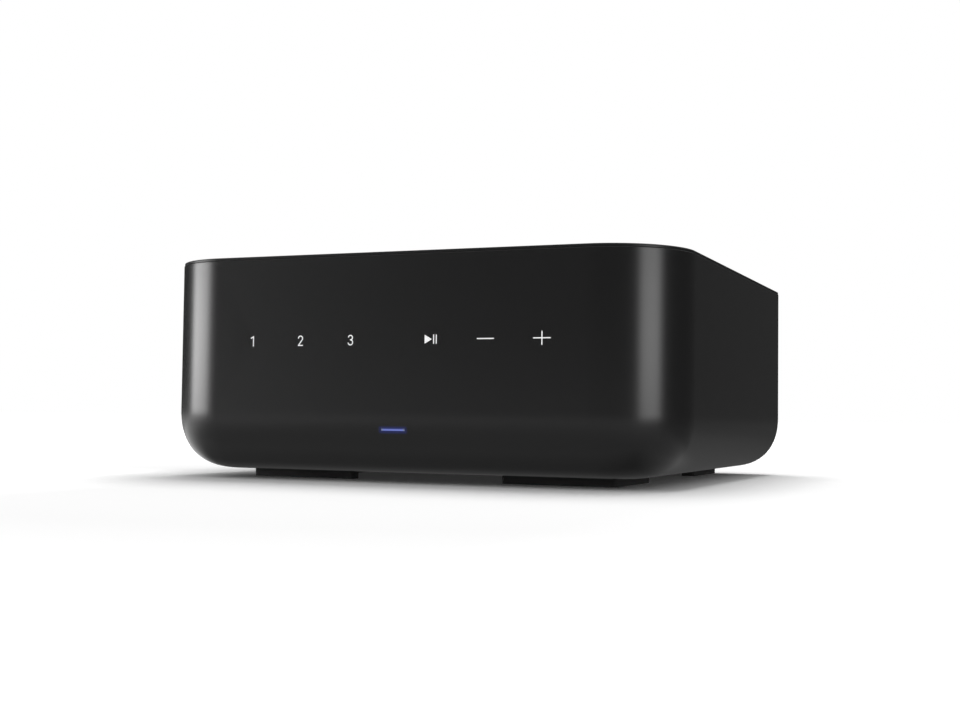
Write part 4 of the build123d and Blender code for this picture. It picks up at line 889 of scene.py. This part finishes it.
def floor_slots():
    """The vents through the floor, two groups of rounded slots."""
    group = row_of(slot_shape(wide=2.6, tall=44, deep=8), count=7, pitch=6)
    return joined(*(moved(group, x, FRONT_MM + 110, 5) for x in (-38, 38)))


def slot_shape(wide, tall, deep, steps=8):
    """A rounded slot along Y with its depth along Z, in millimetres, centred."""
    radius = wide / 2
    run = tall / 2 - radius
    rim = []
    for end, start in ((1, 0), (-1, 180)):
        rim += arc_points(0, end * run, radius, start, start + 180, steps)
    return prism_mesh(rim, -deep / 2, deep / 2, "Z")


def foot_mesh(name):
    """A pad foot: a plate with a raised bar along the two sides that follow the housing's corner."""
    casing = bpy.context.scene.amp_casing
    low, high = (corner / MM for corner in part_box(name))
    side = 1 if high.x > 0 else -1
    end = 1 if high.y > 0 else -1
    outer = (high.x if side > 0 else low.x) + side * casing.foot_grow / MM
    inner = low.x if side > 0 else high.x
    edge = high.y if end > 0 else low.y - casing.foot_forward / MM
    back = low.y if end > 0 else high.y
    bar_x, bar_y = outer - side * casing.foot_bar / MM, edge - end * casing.foot_bar / MM
    plate_thick, bar_overlap = 1.2, 0.6
    plate = [(outer, edge), (inner, edge), (inner, back), (outer, back)]
    bar = [(outer, edge), (inner, edge), (inner, bar_y), (bar_x, bar_y), (bar_x, back), (outer, back)]
    meshes = []
    for points, low_end, top in ((plate, high.z - plate_thick, high.z), (bar, 0, high.z - bar_overlap)):
        meshes.append(prism_mesh(eased(points, casing.foot_round / MM, steps=5), low_end, top, "Z"))
    return softened(combined(*meshes, "UNION"), casing.foot_ease, segments=3, angle=40)


def lid_plate():
    """The lid's flat plate with a rounded upper edge and a fine step below it."""
    casing = bpy.context.scene.amp_casing
    step = 0.12 * MM
    profile = edge_profile(casing.lid_inset, LID_TOP, casing.lid_round, 5)
    profile += [(casing.lid_inset, RIM + step), (casing.lid_inset + step, RIM)]
    bm = bmesh.new()
    rings = [ring(bm, inset, level, BACK - 0.05 * MM) for inset, level in profile]
    skin(bm, rings)
    bm.faces.new(rings[0])
    bm.faces.new(rings[-1])
    bm.faces.new([r[0] for r in rings] + [r[-1] for r in reversed(rings)])
    return closed_mesh(bm, "lid")


def lid_lip():
    """The lip below the lid that follows the housing's wall inside."""
    bm = bmesh.new()
    back = (PANEL_IN - 0.2) * MM
    insets, levels = (2.8 * MM, 4.3 * MM), (RIM + 0.5 * MM, RIM - 3 * MM)
    outer, inner = ([ring(bm, inset, level, back) for level in levels] for inset in insets)
    for rings in (outer, inner, *([first, second] for first, second in zip(outer, inner))):
        skin(bm, rings)
    for end in (0, -1):
        bm.faces.new((outer[0][end], outer[1][end], inner[1][end], inner[0][end]))
    return closed_mesh(bm, "lip")


def lid_hooks():
    """The hooks below the lid that reach under the housing's catches, and its two rear blocks."""
    bm = bmesh.new()
    stem, half, thick = FRONT_MM + 5.3, 4, 1.5
    low, top, block_low = 76.6, 86.9, 77.4
    for x in CATCHES:
        box(bm, around(x, half), (stem, stem + thick), (low, top))
        box(bm, around(x, half), (stem - 2, stem + 0.4), (low, low + thick))
    for x in (-56, 56):
        box(bm, around(x, half), BLOCK_DEPTHS, (block_low, top))
    return mesh_from(bm, "hooks")


# Rear pieces, in millimetres


def refit(node_name, pieces, width=0.12, body=ROOT):
    """Replaces a CAD node with softened copies of its solids; each piece is a name, a slot and its solids."""
    left = solids(node_name)
    for name, slot, count in pieces:
        mesh = softened(joined(*left[:count]), width * MM)
        coated_piece(name, mesh, slot, body, [node_name])
        left = left[count:]


def cross_outline(arm, half):
    """The outline of a cross with equal arms, round the origin."""
    cross = []
    for x, z in ((1, 0), (0, 1), (-1, 0), (0, -1)):
        for out, way in ((arm, -half), (arm, half), (half, half)):
            cross.append((x * out - z * way, z * out + x * way))
    return cross


def screw_mesh():
    """A pan-head screw along Y, its head's underside at the origin, with a tapered cross recess."""
    profile = [(0, -8), (1.1, -8), (1.5, -7.5), (1.5, 0), (2.8, 0), (2.8, 0.85)]
    profile += [(2.62, 1.25), (2.2, 1.56), (1.5, 1.75), (0.8, 1.8), (0, 1.8)]
    recess = prism_mesh(cross_outline(arm=1.55, half=0.36), low=0.7, high=1.9, taper=0.72)
    return combined(turned(profile, sides=40), recess, "DIFFERENCE")


def cap_mesh(ribs):
    """The turning cap of a speaker post from its foot at the origin: a collar, grooves and a dished end."""
    section = [(4.68, 0), (6.6, 0), (6.6, 1.8), (6.2, 1.95), (6.2, 2.2), (6.6, 2.35), (6.6, 15), (5.75, 15)]
    section += [(5.5, 14.55), (4.25, 14.55), (4.0, 15), (3.4, 15), (3.4, 13), (4.68, 13)]
    body = turned(eased(section, radius=0.32), sides=72, closed=True)
    bm = bmesh.new()
    tube(bm, (0, 9.4, 0), radius=0.62, depth=13.4, axis="Y", sides=14)
    groove = mesh_from(bm, "groove")
    grooves = laid_out("Ring of copies", "black_plastic", Shape=groove, Count=ribs, Radius=6.72 * MM)
    return combined(body, grooves, "DIFFERENCE")


def button_mesh(name):
    """A round button with a dished face, the flange behind the panel and its stem."""
    low, high = (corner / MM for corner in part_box(name))
    face = high.y
    profile = [(0, low.y), (1.5, low.y), (1.5, PANEL_IN - 1), (4, PANEL_IN - 1), (4, PANEL_IN), (3, PANEL_IN)]
    profile += [(3, face - 0.3), (2.9, face - 0.1), (2.65, face), (2.35, face - 0.02), (2.0, face - 0.14)]
    profile += [(1.2, face - 0.24), (0, face - 0.27)]
    centre = middle(name)
    return turned(profile, sides=48, centre=(centre.x, 0, centre.z))


def contacts_mesh(face, network, storage, screen):
    """The sockets' gold contacts: eight wires, four pads, and blades over and under the screen's tongue."""
    back = face - 13.05
    wire = [(face - 2.5, 27.95), (face - 3.1, 27.35), (face - 11, 24.65), (back, 24.45)]
    wire += [(back, 24.15), (face - 10.9, 24.35), (face - 2.9, 27.05), (face - 2.0, 27.95)]
    pad = [(face - 11.7, 21.1), (face - 2.8, 21.1), (face - 3.2, 20.92), (face - 4.6, 20.8)]
    pad += [(face - 11.7, 20.9)]
    upper = [(face - 9.7, 20.78), (face - 1.9, 20.78), (face - 2.1, 20.88), (face - 9.7, 20.88)]
    tongue = 20.3
    lower = [(y, 2 * tongue - z) for y, z in upper]
    rows = []
    for side_view, wide, count, pitch, x in (
        (wire, 0.46, 8, 1.02, network),
        (pad, 1.2, 4, 2.3, storage),
        (upper, 0.42, 10, 1.0, screen),
        (lower, 0.42, 9, 1.0, screen),
    ):
        contact = prism_mesh(side_view, -wide / 2, wide / 2, "X")
        rows.append(moved(row_of(contact, count, pitch, "gold"), x, 0, 0))
    return joined(*rows)


# Printed marks, in millimetres


def stroke(bm, points, width=0.26, at=(0, 0)):
    """A printed line through (x, z) points about a place, which closes where its ends meet."""
    points = [Vector(point) + Vector(at) for point in points]
    closed = (points[0] - points[-1]).length < 1e-6
    if closed:
        points.pop()
    count = len(points)
    rims = []
    for index, point in enumerate(points):
        before = point - points[index - 1] if closed or index else points[1] - point
        after = points[(index + 1) % count] - point if closed or index < count - 1 else before
        mean = (before.normalized() + after.normalized()) / 2
        side = Vector((-mean.y, mean.x)) / max(0.25, mean.length_squared) * width / 2
        rim = [(point + side, INK[0]), (point + side, INK[1]), (point - side, INK[1]), (point - side, INK[0])]
        rims.append([bm.verts.new(Vector((place.x, level, place.y)) * MM) for place, level in rim])
    for first, second in zip(rims, rims[1:]):
        band(bm, first, second)
    if closed:
        band(bm, rims[-1], rims[0])
    else:
        bm.faces.new(rims[0])
        bm.faces.new(rims[-1])


def arc_points(x, z, radius, start=0, end=360, steps=24):
    """Points of an arc, by degrees."""
    angles = [math.radians(start + (end - start) * step / steps) for step in range(steps + 1)]
    return [(x + radius * math.cos(angle), z + radius * math.sin(angle)) for angle in angles]


def rectangle(left, low, right, high):
    """The closed line round a rectangle."""
    return [(left, low), (right, low), (right, high), (left, high), (left, low)]


def above(name, rise):
    """The place on the panel above a socket."""
    return Vector((middle(name).x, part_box(name)[1].z / MM + rise))


def letter(bm, sign, x, z, height):
    """A printed letter that reads from behind, centred on a place."""
    curve = bpy.data.curves.new("letter", "FONT")
    curve.body = sign
    curve.size = height / 0.7 * MM
    curve.align_x = "CENTER"
    curve.align_y = "CENTER"
    curve.extrude = 0.02 * MM
    curve.resolution_u = 6
    mesh = taken(linked("letter", curve))
    facing = Matrix(((-1, 0, 0), (0, 0, 1), (0, 1, 0))).transposed().to_4x4()
    mesh.transform(Matrix.Translation(Vector((x, PANEL_OUT + 0.01, z)) * MM) @ facing)
    bm.from_mesh(mesh)


def post_marks(bm):
    """Plus and minus over the speaker posts, and each pair's channel below."""
    posts = [middle(f"post_cap_{number}") for number in range(1, 5)]
    for number, post in enumerate(posts):
        z = post.z + 11.2
        if number % 2:
            stroke(bm, [(-1.2, 0), (1.2, 0)], 0.45, (post.x, z))
        else:
            plus = cross_outline(arm=1.2, half=0.225)
            prism(bm, [(post.x + a, z + b) for a, b in plus], *INK)
    for sign, first, second in (("R", posts[0], posts[1]), ("L", posts[2], posts[3])):
        z = first.z - 10.6
        between = (first.x + second.x) / 2
        letter(bm, sign, between, z, height=2.6)
        for end, way in ((first.x, 1), (second.x, -1)):
            stroke(bm, [(between + way * 2.6, z), (end, z), (end, z + 1.5)], 0.3)


def phono_marks(bm):
    """Channel letters beside the phono sockets, an arrow over the inputs and a driver over the third."""
    for sign, name in (("L", "rca_insert_white"), ("R", "rca_insert_red")):
        place = middle(name)
        letter(bm, sign, place.x + 7.6, place.z, height=2.4)
    sub = middle("rca_insert_sub")
    driver = (sub.x, sub.z + 8.2)
    stroke(bm, rectangle(-1.5, -1.5, 1.5, 1.5), at=driver)
    stroke(bm, arc_points(*driver, 0.85))
    line = middle("rca_insert_white")
    arrow = [(-0.2, 1.1), (-0.2, -0.3), (-1.0, -0.3), (0, -1.4), (1.0, -0.3), (0.2, -0.3), (0.2, 1.1)]
    prism(bm, [(line.x + x, line.z + 8.0 + z) for x, z in arrow], *INK)


def socket_marks(bm):
    """A plain sign over each digital socket and the mains inlet."""
    network = above("ethernet_socket", 3.4)
    for place in ((0, 1.0), (-1.6, -1.0), (1.6, -1.0)):
        stroke(bm, rectangle(-0.6, -0.45, 0.6, 0.45), 0.24, network + Vector(place))
    stroke(bm, [(-1.6, -0.5), (-1.6, 0), (1.6, 0), (1.6, -0.5)], 0.24, network)
    stroke(bm, [(0, 0), (0, 0.5)], 0.24, network)
    storage = above("usb_socket", 3.0)
    stroke(bm, rectangle(-1.9, -0.9, 0.7, 0.9), at=storage)
    stroke(bm, [(0.7, 0.5), (1.9, 0.5), (1.9, -0.5), (0.7, -0.5)], at=storage)
    screen = above("hdmi_socket", 3.4)
    stroke(bm, rectangle(-1.9, -1.1, 1.9, 1.1), at=screen)
    stroke(bm, [(-0.9, -1.75), (0.9, -1.75)], at=screen)
    light = above("optical_socket", 3.0)
    stroke(bm, arc_points(*light, 1.25))
    stroke(bm, arc_points(*light, 0.3, steps=10), 0.4)
    wave = [(4.4 * step / 24 - 2.2, 0.8 * math.sin(2 * math.pi * step / 24)) for step in range(25)]
    stroke(bm, wave, 0.34, above("ac_inlet", 3.2))


def button_marks(bm):
    """Waves over the connect button and two linked rings over the pairing button."""
    signal, pair = middle("connect_button"), middle("pairing_button")
    z = signal.z + 5.4
    stroke(bm, arc_points(signal.x, z - 0.4, 0.25, steps=8), 0.35)
    for radius in (1.0, 1.8):
        stroke(bm, arc_points(signal.x, z - 0.4, radius, 45, 135, 10), 0.28)
    for way in (-1, 1):
        stroke(bm, arc_points(pair.x + way * 0.75, z + 0.3, 1.1))


# Operators


class AMP_OT_housing(Operator):
    """Makes the moulded housing"""

    bl_idname = "amp.housing"
    bl_label = "Housing"

    def execute(self, context):
        shell = combined(shell_mesh(), housing_ribs(), "UNION")
        for cutters in (housing_cutters(), floor_slots()):
            shell = combined(shell, cutters, "DIFFERENCE")
        coated_piece("housing_tub", shaded(shell), "housing_black", replaces=["housing"])
        return {"FINISHED"}


class AMP_OT_lid(Operator):
    """Makes the flat lid"""

    bl_idname = "amp.lid"
    bl_label = "Lid"

    def execute(self, context):
        lid = combined(lid_plate(), lid_lip(), "UNION")
        lid = combined(lid, lid_hooks(), "UNION")
        coated_piece("flat_lid", shaded(lid), "lid_black", replaces=["top_cover"])
        return {"FINISHED"}


class AMP_OT_symbols(Operator):
    """Makes the six lit touch symbols"""

    bl_idname = "amp.symbols"
    bl_label = "Touch symbols"

    def execute(self, context):
        coated_piece("touch_symbols", shaded(symbols_mesh()), "symbol_white", replaces=["front_symbols"])
        return {"FINISHED"}


class AMP_OT_feet(Operator):
    """Makes the four pad feet"""

    bl_idname = "amp.feet"
    bl_label = "Feet"

    def execute(self, context):
        for place in FEET:
            name = f"foot_{place}"
            coated_piece(f"pad_{place}", foot_mesh(name), "foot_rubber", replaces=[name])
        return {"FINISHED"}


class AMP_OT_sockets(Operator):
    """Makes the network, storage, screen and light-link sockets with their contacts"""

    bl_idname = "amp.sockets"
    bl_label = "Sockets"

    def execute(self, context):
        refit("ethernet_socket", [("network_shell", "nickel", 1), ("network_insert", "black_plastic", 1)])
        thin = 0.08
        refit("usb_socket", [("storage_shell", "nickel", 1), ("storage_tongue", "white_plastic", 1)], thin)
        refit("hdmi_socket", [("screen_shell", "nickel", 1), ("screen_tongue", "black_plastic", 1)], thin)
        refit("optical_socket", [("light_link_body", "black_plastic", 1)])
        refit("optical_flap", [("light_link_flap", "black_plastic", 1)], 0.1, "optical_flap")
        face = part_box("ethernet_socket")[1].y / MM
        network, storage, screen = (middle(f"{name}_socket").x for name in ("ethernet", "usb", "hdmi"))
        coated_piece("socket_contacts", shaded(contacts_mesh(face, network, storage, screen)), "gold")
        spring = [(face - 8.5, 18.2), (face - 2.6, 18.95), (face - 1.5, 18.5), (face - 1.5, 18.2)]
        springs = row_of(prism_mesh(spring, -1.0, 1.0, "X"), count=2, pitch=6, slot="nickel")
        coated_piece("storage_springs", shaded(moved(springs, storage, 0, 0)), "nickel")
        for side, x, tint in (
            ("left", network + 5.4, (0.55, 0.30, 0.04)),
            ("right", network - 5.4, (0.10, 0.42, 0.08)),
        ):
            name = f"network_light_{side}"
            bm = bmesh.new()
            box(bm, around(x, 1.2), (face - 1.2, face + 0.1), (28.5, 29.7))
            lens = finish(name, tint, roughness=0.2, relief=0.03)
            piece(name, softened(mesh_from(bm, name), 0.25 * MM, segments=3), lens)
        return {"FINISHED"}


class AMP_OT_phono(Operator):
    """Makes the phono sockets"""

    bl_idname = "amp.phono"
    bl_label = "Phono sockets"

    def execute(self, context):
        refit("rca_barrels", [("phono_barrels", "gold", 3)], width=0.14)
        for name, slot in (("white", "white_plastic"), ("red", "red_plastic"), ("sub", "black_plastic")):
            refit(f"rca_insert_{name}", [(f"phono_insert_{name}", slot, 1)], width=0.2)
        return {"FINISHED"}


class AMP_OT_posts(Operator):
    """Makes the speaker posts: ribbed caps, flanges and studs"""

    bl_idname = "amp.posts"
    bl_label = "Speaker posts"

    def execute(self, context):
        cap = cap_mesh(context.scene.amp_rear.cap_ribs)
        for number in range(1, 5):
            name = f"post_cap_{number}"
            place = middle(name)
            slot = "red_plastic" if number % 2 else "black_plastic"
            mesh = shaded(moved(cap, place.x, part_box(name)[0].y / MM, place.z), angle=35)
            coated_piece(f"ribbed_cap_{number}", mesh, slot, f"post_{number}_cap", [name])
        for tint in ("red", "black"):
            name = f"post_bases_{tint}"
            refit(name, [(f"post_flanges_{tint}", f"{tint}_plastic", len(solids(name)))], width=0.45)
        refit("post_studs", [("post_shafts", "gold", 4)], width=0.2)
        return {"FINISHED"}


class AMP_OT_buttons(Operator):
    """Makes the two push buttons"""

    bl_idname = "amp.buttons"
    bl_label = "Buttons"

    def execute(self, context):
        for name in ("connect_button", "pairing_button"):
            coated_piece(f"{name}_cap", shaded(button_mesh(name)), "black_plastic", name, [name])
        return {"FINISHED"}


class AMP_OT_inlet(Operator):
    """Makes the mains inlet and its pins"""

    bl_idname = "amp.inlet"
    bl_label = "Mains inlet"

    def execute(self, context):
        refit("ac_inlet", [("inlet_body", "black_plastic", 1), ("inlet_pins", "nickel", 2)], width=0.25)
        return {"FINISHED"}


class AMP_OT_screws(Operator):
    """Makes the rear panel's screws"""

    bl_idname = "amp.screws"
    bl_label = "Panel screws"

    def execute(self, context):
        heads = []
        for mesh in solids("panel_screws"):
            centre = sum(corners(mesh), Vector()) / 2
            heads.append((centre.x, PANEL_HIGH.y, centre.z))
        places = bpy.data.meshes.new("places")
        places.from_pydata(sorted(heads), [], [])
        values = {"Places": places, "Shape": screw_mesh(), "Turn": math.pi, "Seed": 7}
        screws = laid_out("Copies at places", "screw_black", **values)
        coated_piece("cross_screws", shaded(screws), "screw_black", replaces=["panel_screws"])
        return {"FINISHED"}


class AMP_OT_marks(Operator):
    """Prints the plain signs on the rear panel"""

    bl_idname = "amp.marks"
    bl_label = "Printed marks"

    def execute(self, context):
        bm = bmesh.new()
        for add_marks in (post_marks, phono_marks, socket_marks, button_marks):
            add_marks(bm)
        ink = finish("panel_print", tuple(context.scene.amp_rear.print_colour), roughness=0.55, relief=0.05)
        piece("panel_marks", closed_mesh(bm, "marks"), ink)
        return {"FINISHED"}


class AMP_OT_coatings(Operator):
    """Gives every piece that comes straight from the model its finish"""

    bl_idname = "amp.coatings"
    bl_label = "Finishes"

    def execute(self, context):
        for part in frame["record"]["subparts"]:
            target = frame["nodes"][part["node"]]
            if target.hide_render:
                continue
            for slot in target.material_slots:
                slot.material = finish_for(part["material_slot"])
        return {"FINISHED"}


# Stage


def make_world(stage):
    """White to look at, from the camera, in gloss and through glass, and an even pale light on the object."""
    world = bpy.data.worlds.new("Studio")
    world.use_nodes = True
    tree = world.node_tree
    plain = tree.nodes["Background"]
    plain.inputs["Color"].default_value = (1, 1, 1, 1)
    plain.inputs["Strength"].default_value = stage.ambient
    path = node(tree, "ShaderNodeLightPath").outputs
    shown = calc(tree, "MAXIMUM", path["Is Camera Ray"], path["Is Glossy Ray"])
    shown = calc(tree, "MAXIMUM", shown, path["Is Transmission Ray"])
    seen = node(tree, "ShaderNodeBackground", Color=(1, 1, 1, 1), Strength=1.0)
    mix = node(tree, "ShaderNodeMixShader", i0=shown, i1=plain.outputs[0], i2=seen.outputs[0])
    tree.links.new(mix.outputs[0], tree.nodes["World Output"].inputs["Surface"])
    bpy.context.scene.world = world


def staged(name, bm):
    """A mesh of the studio, and the tree of its material without a shader."""
    made = linked(name, mesh_from(bm, name))
    coat = bpy.data.materials.new(name)
    coat.use_nodes = True
    made.data.materials.append(coat)
    tree = coat.node_tree
    tree.nodes.remove(tree.nodes["Principled BSDF"])
    return made, tree


def surface(tree, shader):
    """Ends a material's tree in a shader."""
    tree.links.new(shader.outputs[0], tree.nodes["Material Output"].inputs["Surface"])


def bearing(tree, parts):
    """The bearing of a point round the object, 0 behind over 0.25 left and 0.5 in front to 0.75 right."""
    angle = calc(tree, "ARCTAN2", parts["X"], calc(tree, "MULTIPLY", parts["Y"], -1.0))
    return spread(tree, angle, 0.0, 1.0, -math.pi, math.pi)


def tones(tree, factor, stops):
    """A grey by bearing; each stop is a bearing in degrees and a tone."""
    ramp = node(tree, "ShaderNodeValToRGB", Fac=factor)
    ramp.color_ramp.interpolation = "EASE"
    marks = ramp.color_ramp.elements
    while len(marks) < len(stops):
        marks.new(0.5)
    for mark, stop in zip(marks, stops):
        mark.position = stop[0] / 360 + 0.5
    for mark, stop in zip(marks, stops):
        mark.color = (*[stop[1]] * 3, 1.0)
    return ramp.outputs["Color"]


def make_floor(stage):
    """A wide pale floor: the camera sees it paler than light does, with painted light that lightens the
    object's shadow in front on the left and to the right, and a faint painted grey in the shadow; gloss sees
    painted light and shade on it by bearing, with a painted shade right under the object.
    """
    bm = bmesh.new()
    bmesh.ops.create_circle(bm, cap_ends=True, segments=96, radius=FLOOR_RADIUS)
    bmesh.ops.translate(bm, verts=bm.verts, vec=(0, 0, -FLOOR_DROP))
    tree = staged("floor", bm)[1]
    path = node(tree, "ShaderNodeLightPath").outputs
    place, parts = place_of(tree)
    measure = node(tree, "ShaderNodeVectorMath", {"operation": "LENGTH"}, Vector=place)
    away = measure.outputs["Value"]

    # Painted reflection: gloss sees the floor as glowing tones by bearing and distance, not as lit, with a
    # painted shade right under the object
    factor = bearing(tree, parts)
    near, far = tones(tree, factor, NEAR_TONES), tones(tree, factor, FAR_TONES)
    open_floor = mixed(tree, spread(tree, away, 0.0, 1.0, *OPEN_FLOOR), near, far)
    beside = calc(tree, "MAXIMUM", *(calc(tree, "ABSOLUTE", parts[axis]) for axis in "XY"))
    painted_gloss_tone = mixed(tree, spread(tree, beside, 0.0, 1.0, *UNDER_EDGE), UNDER_SHADE_TONE, open_floor)
    painted_gloss_shader = node(tree, "ShaderNodeEmission", Color=painted_gloss_tone)

    pale = tuple(stage.floor_colour)
    paler = [c * stage.floor_lift for c in pale]
    palest = [c * stage.sweep_lift for c in paler]
    lifted = mixed(tree, spread(tree, away, 0.0, 1.0, *SWEEP), paler, palest)
    # Painted light: the floor is made paler in front on the left and to the right, so the object's shadow
    # there is lightened
    ahead = spread(tree, parts["Y"], stage.side_lift, 1.0, *LIFT_AHEAD)
    left = spread(tree, parts["X"], ahead, 1.0, *LIFT_LEFT)
    right = spread(tree, parts["X"], 1.0, (1 + stage.side_lift) / 2, *LIFT_RIGHT)
    for side in (left, right):
        lifted = vector_calc(tree, "SCALE", i0=lifted, Scale=side)
    shade = node(tree, "ShaderNodeBsdfDiffuse", Color=mixed(tree, path["Is Camera Ray"], pale, lifted))
    # Painted light: a faint grey glow that the camera sees on the floor, so that the deepest shadow is grey,
    # not black
    faint = calc(tree, "MULTIPLY", path["Is Camera Ray"], stage.shadow_tone)
    shadow_lift_glow = node(tree, "ShaderNodeEmission", Color=(1, 1, 1, 1), Strength=faint)
    both = node(tree, "ShaderNodeAddShader", i0=shade.outputs[0], i1=shadow_lift_glow.outputs[0])
    shaders = {"i1": both.outputs[0], "i2": painted_gloss_shader.outputs[0]}
    surface(tree, node(tree, "ShaderNodeMixShader", i0=path["Is Glossy Ray"], **shaders))


def make_tent(stage):
    """The studio as gloss sees it: dark cards all round, two bright strips low down and a soft top."""
    bm = bmesh.new()
    radius, height = stage.tent_radius, stage.tent_height
    place = Matrix.Translation((0, 0, height / 2 - TENT_DROP))
    ends = {"radius1": radius, "radius2": radius, "depth": height}
    bmesh.ops.create_cone(bm, cap_ends=True, segments=128, matrix=place, **ends)
    bmesh.ops.delete(bm, geom=[f for f in bm.faces if f.normal.z < -0.5], context="FACES_ONLY")
    made, tree = staged("tent", bm)
    parts = place_of(tree)[1]
    factor = bearing(tree, parts)
    wall = tones(tree, factor, WALL_TONES)
    right = calc(tree, "GREATER_THAN", factor, 0.5)
    power = spread(tree, right, stage.left_strip, stage.right_strip, 0.0, 1.0)
    strip = spread(tree, wall, 0.0, 1.0, 0.4, 1.0)
    low = spread(tree, parts["Z"], 1.0, 0.0, *STRIP_FADE, "SMOOTHSTEP")
    lit = calc(tree, "MULTIPLY", strip, calc(tree, "MULTIPLY", power, low))
    upper = spread(tree, parts["Z"], 0.0, 1.0, *TENT_TOP, "SMOOTHSTEP")
    final = node(tree, "ShaderNodeMix", i0=upper, i2=calc(tree, "ADD", wall, lit), i3=TOP_TONE)
    surface(tree, node(tree, "ShaderNodeEmission", Strength=final.outputs[0]))
    for kind in ("camera", "diffuse", "transmission", "shadow"):
        setattr(made, f"visible_{kind}", False)


def make_key(stage):
    """One soft light overhead, a little behind the object."""
    data = bpy.data.lights.new("key", "AREA")
    data.shape = "SQUARE"
    data.size = KEY_SIZE
    data.energy = stage.key_power
    made = linked("key", data)
    made.location = KEY_PLACE
    aim = Vector(KEY_AIM) - made.location
    made.rotation_euler = aim.to_track_quat("-Z", "Y").to_euler()
    made.visible_camera = False
    made.visible_glossy = False


def make_camera():
    """The photograph's view: a 50 mm lens low in front, right of the middle."""
    left, forward = math.sin(CAMERA_HEADING), math.cos(CAMERA_HEADING)
    run = math.cos(CAMERA_TILT)
    ahead = Vector((-left * run, forward * run, math.sin(CAMERA_TILT)))
    level = Vector((forward, left, 0))
    upright = level.cross(ahead)
    right = level * math.cos(CAMERA_ROLL) + upright * math.sin(CAMERA_ROLL)
    up = upright * math.cos(CAMERA_ROLL) - level * math.sin(CAMERA_ROLL)
    data = bpy.data.cameras.new("camera")
    data.lens = 50.0
    data.sensor_width = 36.0
    data.clip_start = 0.01
    data.clip_end = 100.0
    made = linked("camera", data)
    facing = Matrix((right, up, -ahead)).transposed().to_4x4()
    made.matrix_world = Matrix.Translation(CAMERA_PLACE) @ facing
    bpy.context.scene.camera = made


class AMP_OT_stage(Operator):
    """Sets up the floor, light, cards and camera"""

    bl_idname = "amp.stage"
    bl_label = "Stage"

    def execute(self, context):
        for make in (make_world, make_floor, make_tent, make_key):
            make(context.scene.amp_stage)
        make_camera()
        context.scene.view_settings.view_transform = "Standard"
        return {"FINISHED"}


OPERATORS = [
    AMP_OT_stage,
    AMP_OT_housing,
    AMP_OT_lid,
    AMP_OT_symbols,
    AMP_OT_feet,
    AMP_OT_sockets,
    AMP_OT_phono,
    AMP_OT_posts,
    AMP_OT_buttons,
    AMP_OT_inlet,
    AMP_OT_screws,
    AMP_OT_marks,
    AMP_OT_coatings,
]
GROUPS = {
    "amp_casing": AMP_PG_casing,
    "amp_front": AMP_PG_front,
    "amp_rear": AMP_PG_rear,
    "amp_stage": AMP_PG_stage,
}


class AMP_PT_panel(Panel):
    """Lists the amplifier's sizes and steps."""

    bl_label = "Streaming Amplifier"
    bl_idname = "AMP_PT_panel"
    bl_space_type = "VIEW_3D"
    bl_region_type = "UI"
    bl_category = "Amplifier"

    def draw(self, context):
        for name, group in GROUPS.items():
            column = self.layout.column()
            for key in group.__annotations__:
                column.prop(getattr(context.scene, name), key)
        for operator in OPERATORS:
            self.layout.operator(operator.bl_idname)


def register():
    """Registers the classes and the settings."""
    for item in (*GROUPS.values(), *OPERATORS, AMP_PT_panel):
        bpy.utils.register_class(item)
    for name, group in GROUPS.items():
        setattr(bpy.types.Scene, name, PointerProperty(type=group))


def unregister():
    """Removes the settings and the classes."""
    for name in GROUPS:
        delattr(bpy.types.Scene, name)
    for item in reversed((*GROUPS.values(), *OPERATORS, AMP_PT_panel)):
        bpy.utils.unregister_class(item)


def main():
    """Builds everything."""
    register()
    for operator in OPERATORS:
        group, name = operator.bl_idname.split(".")
        getattr(getattr(bpy.ops, group), name)()


if __name__ == "__main__":
    main()
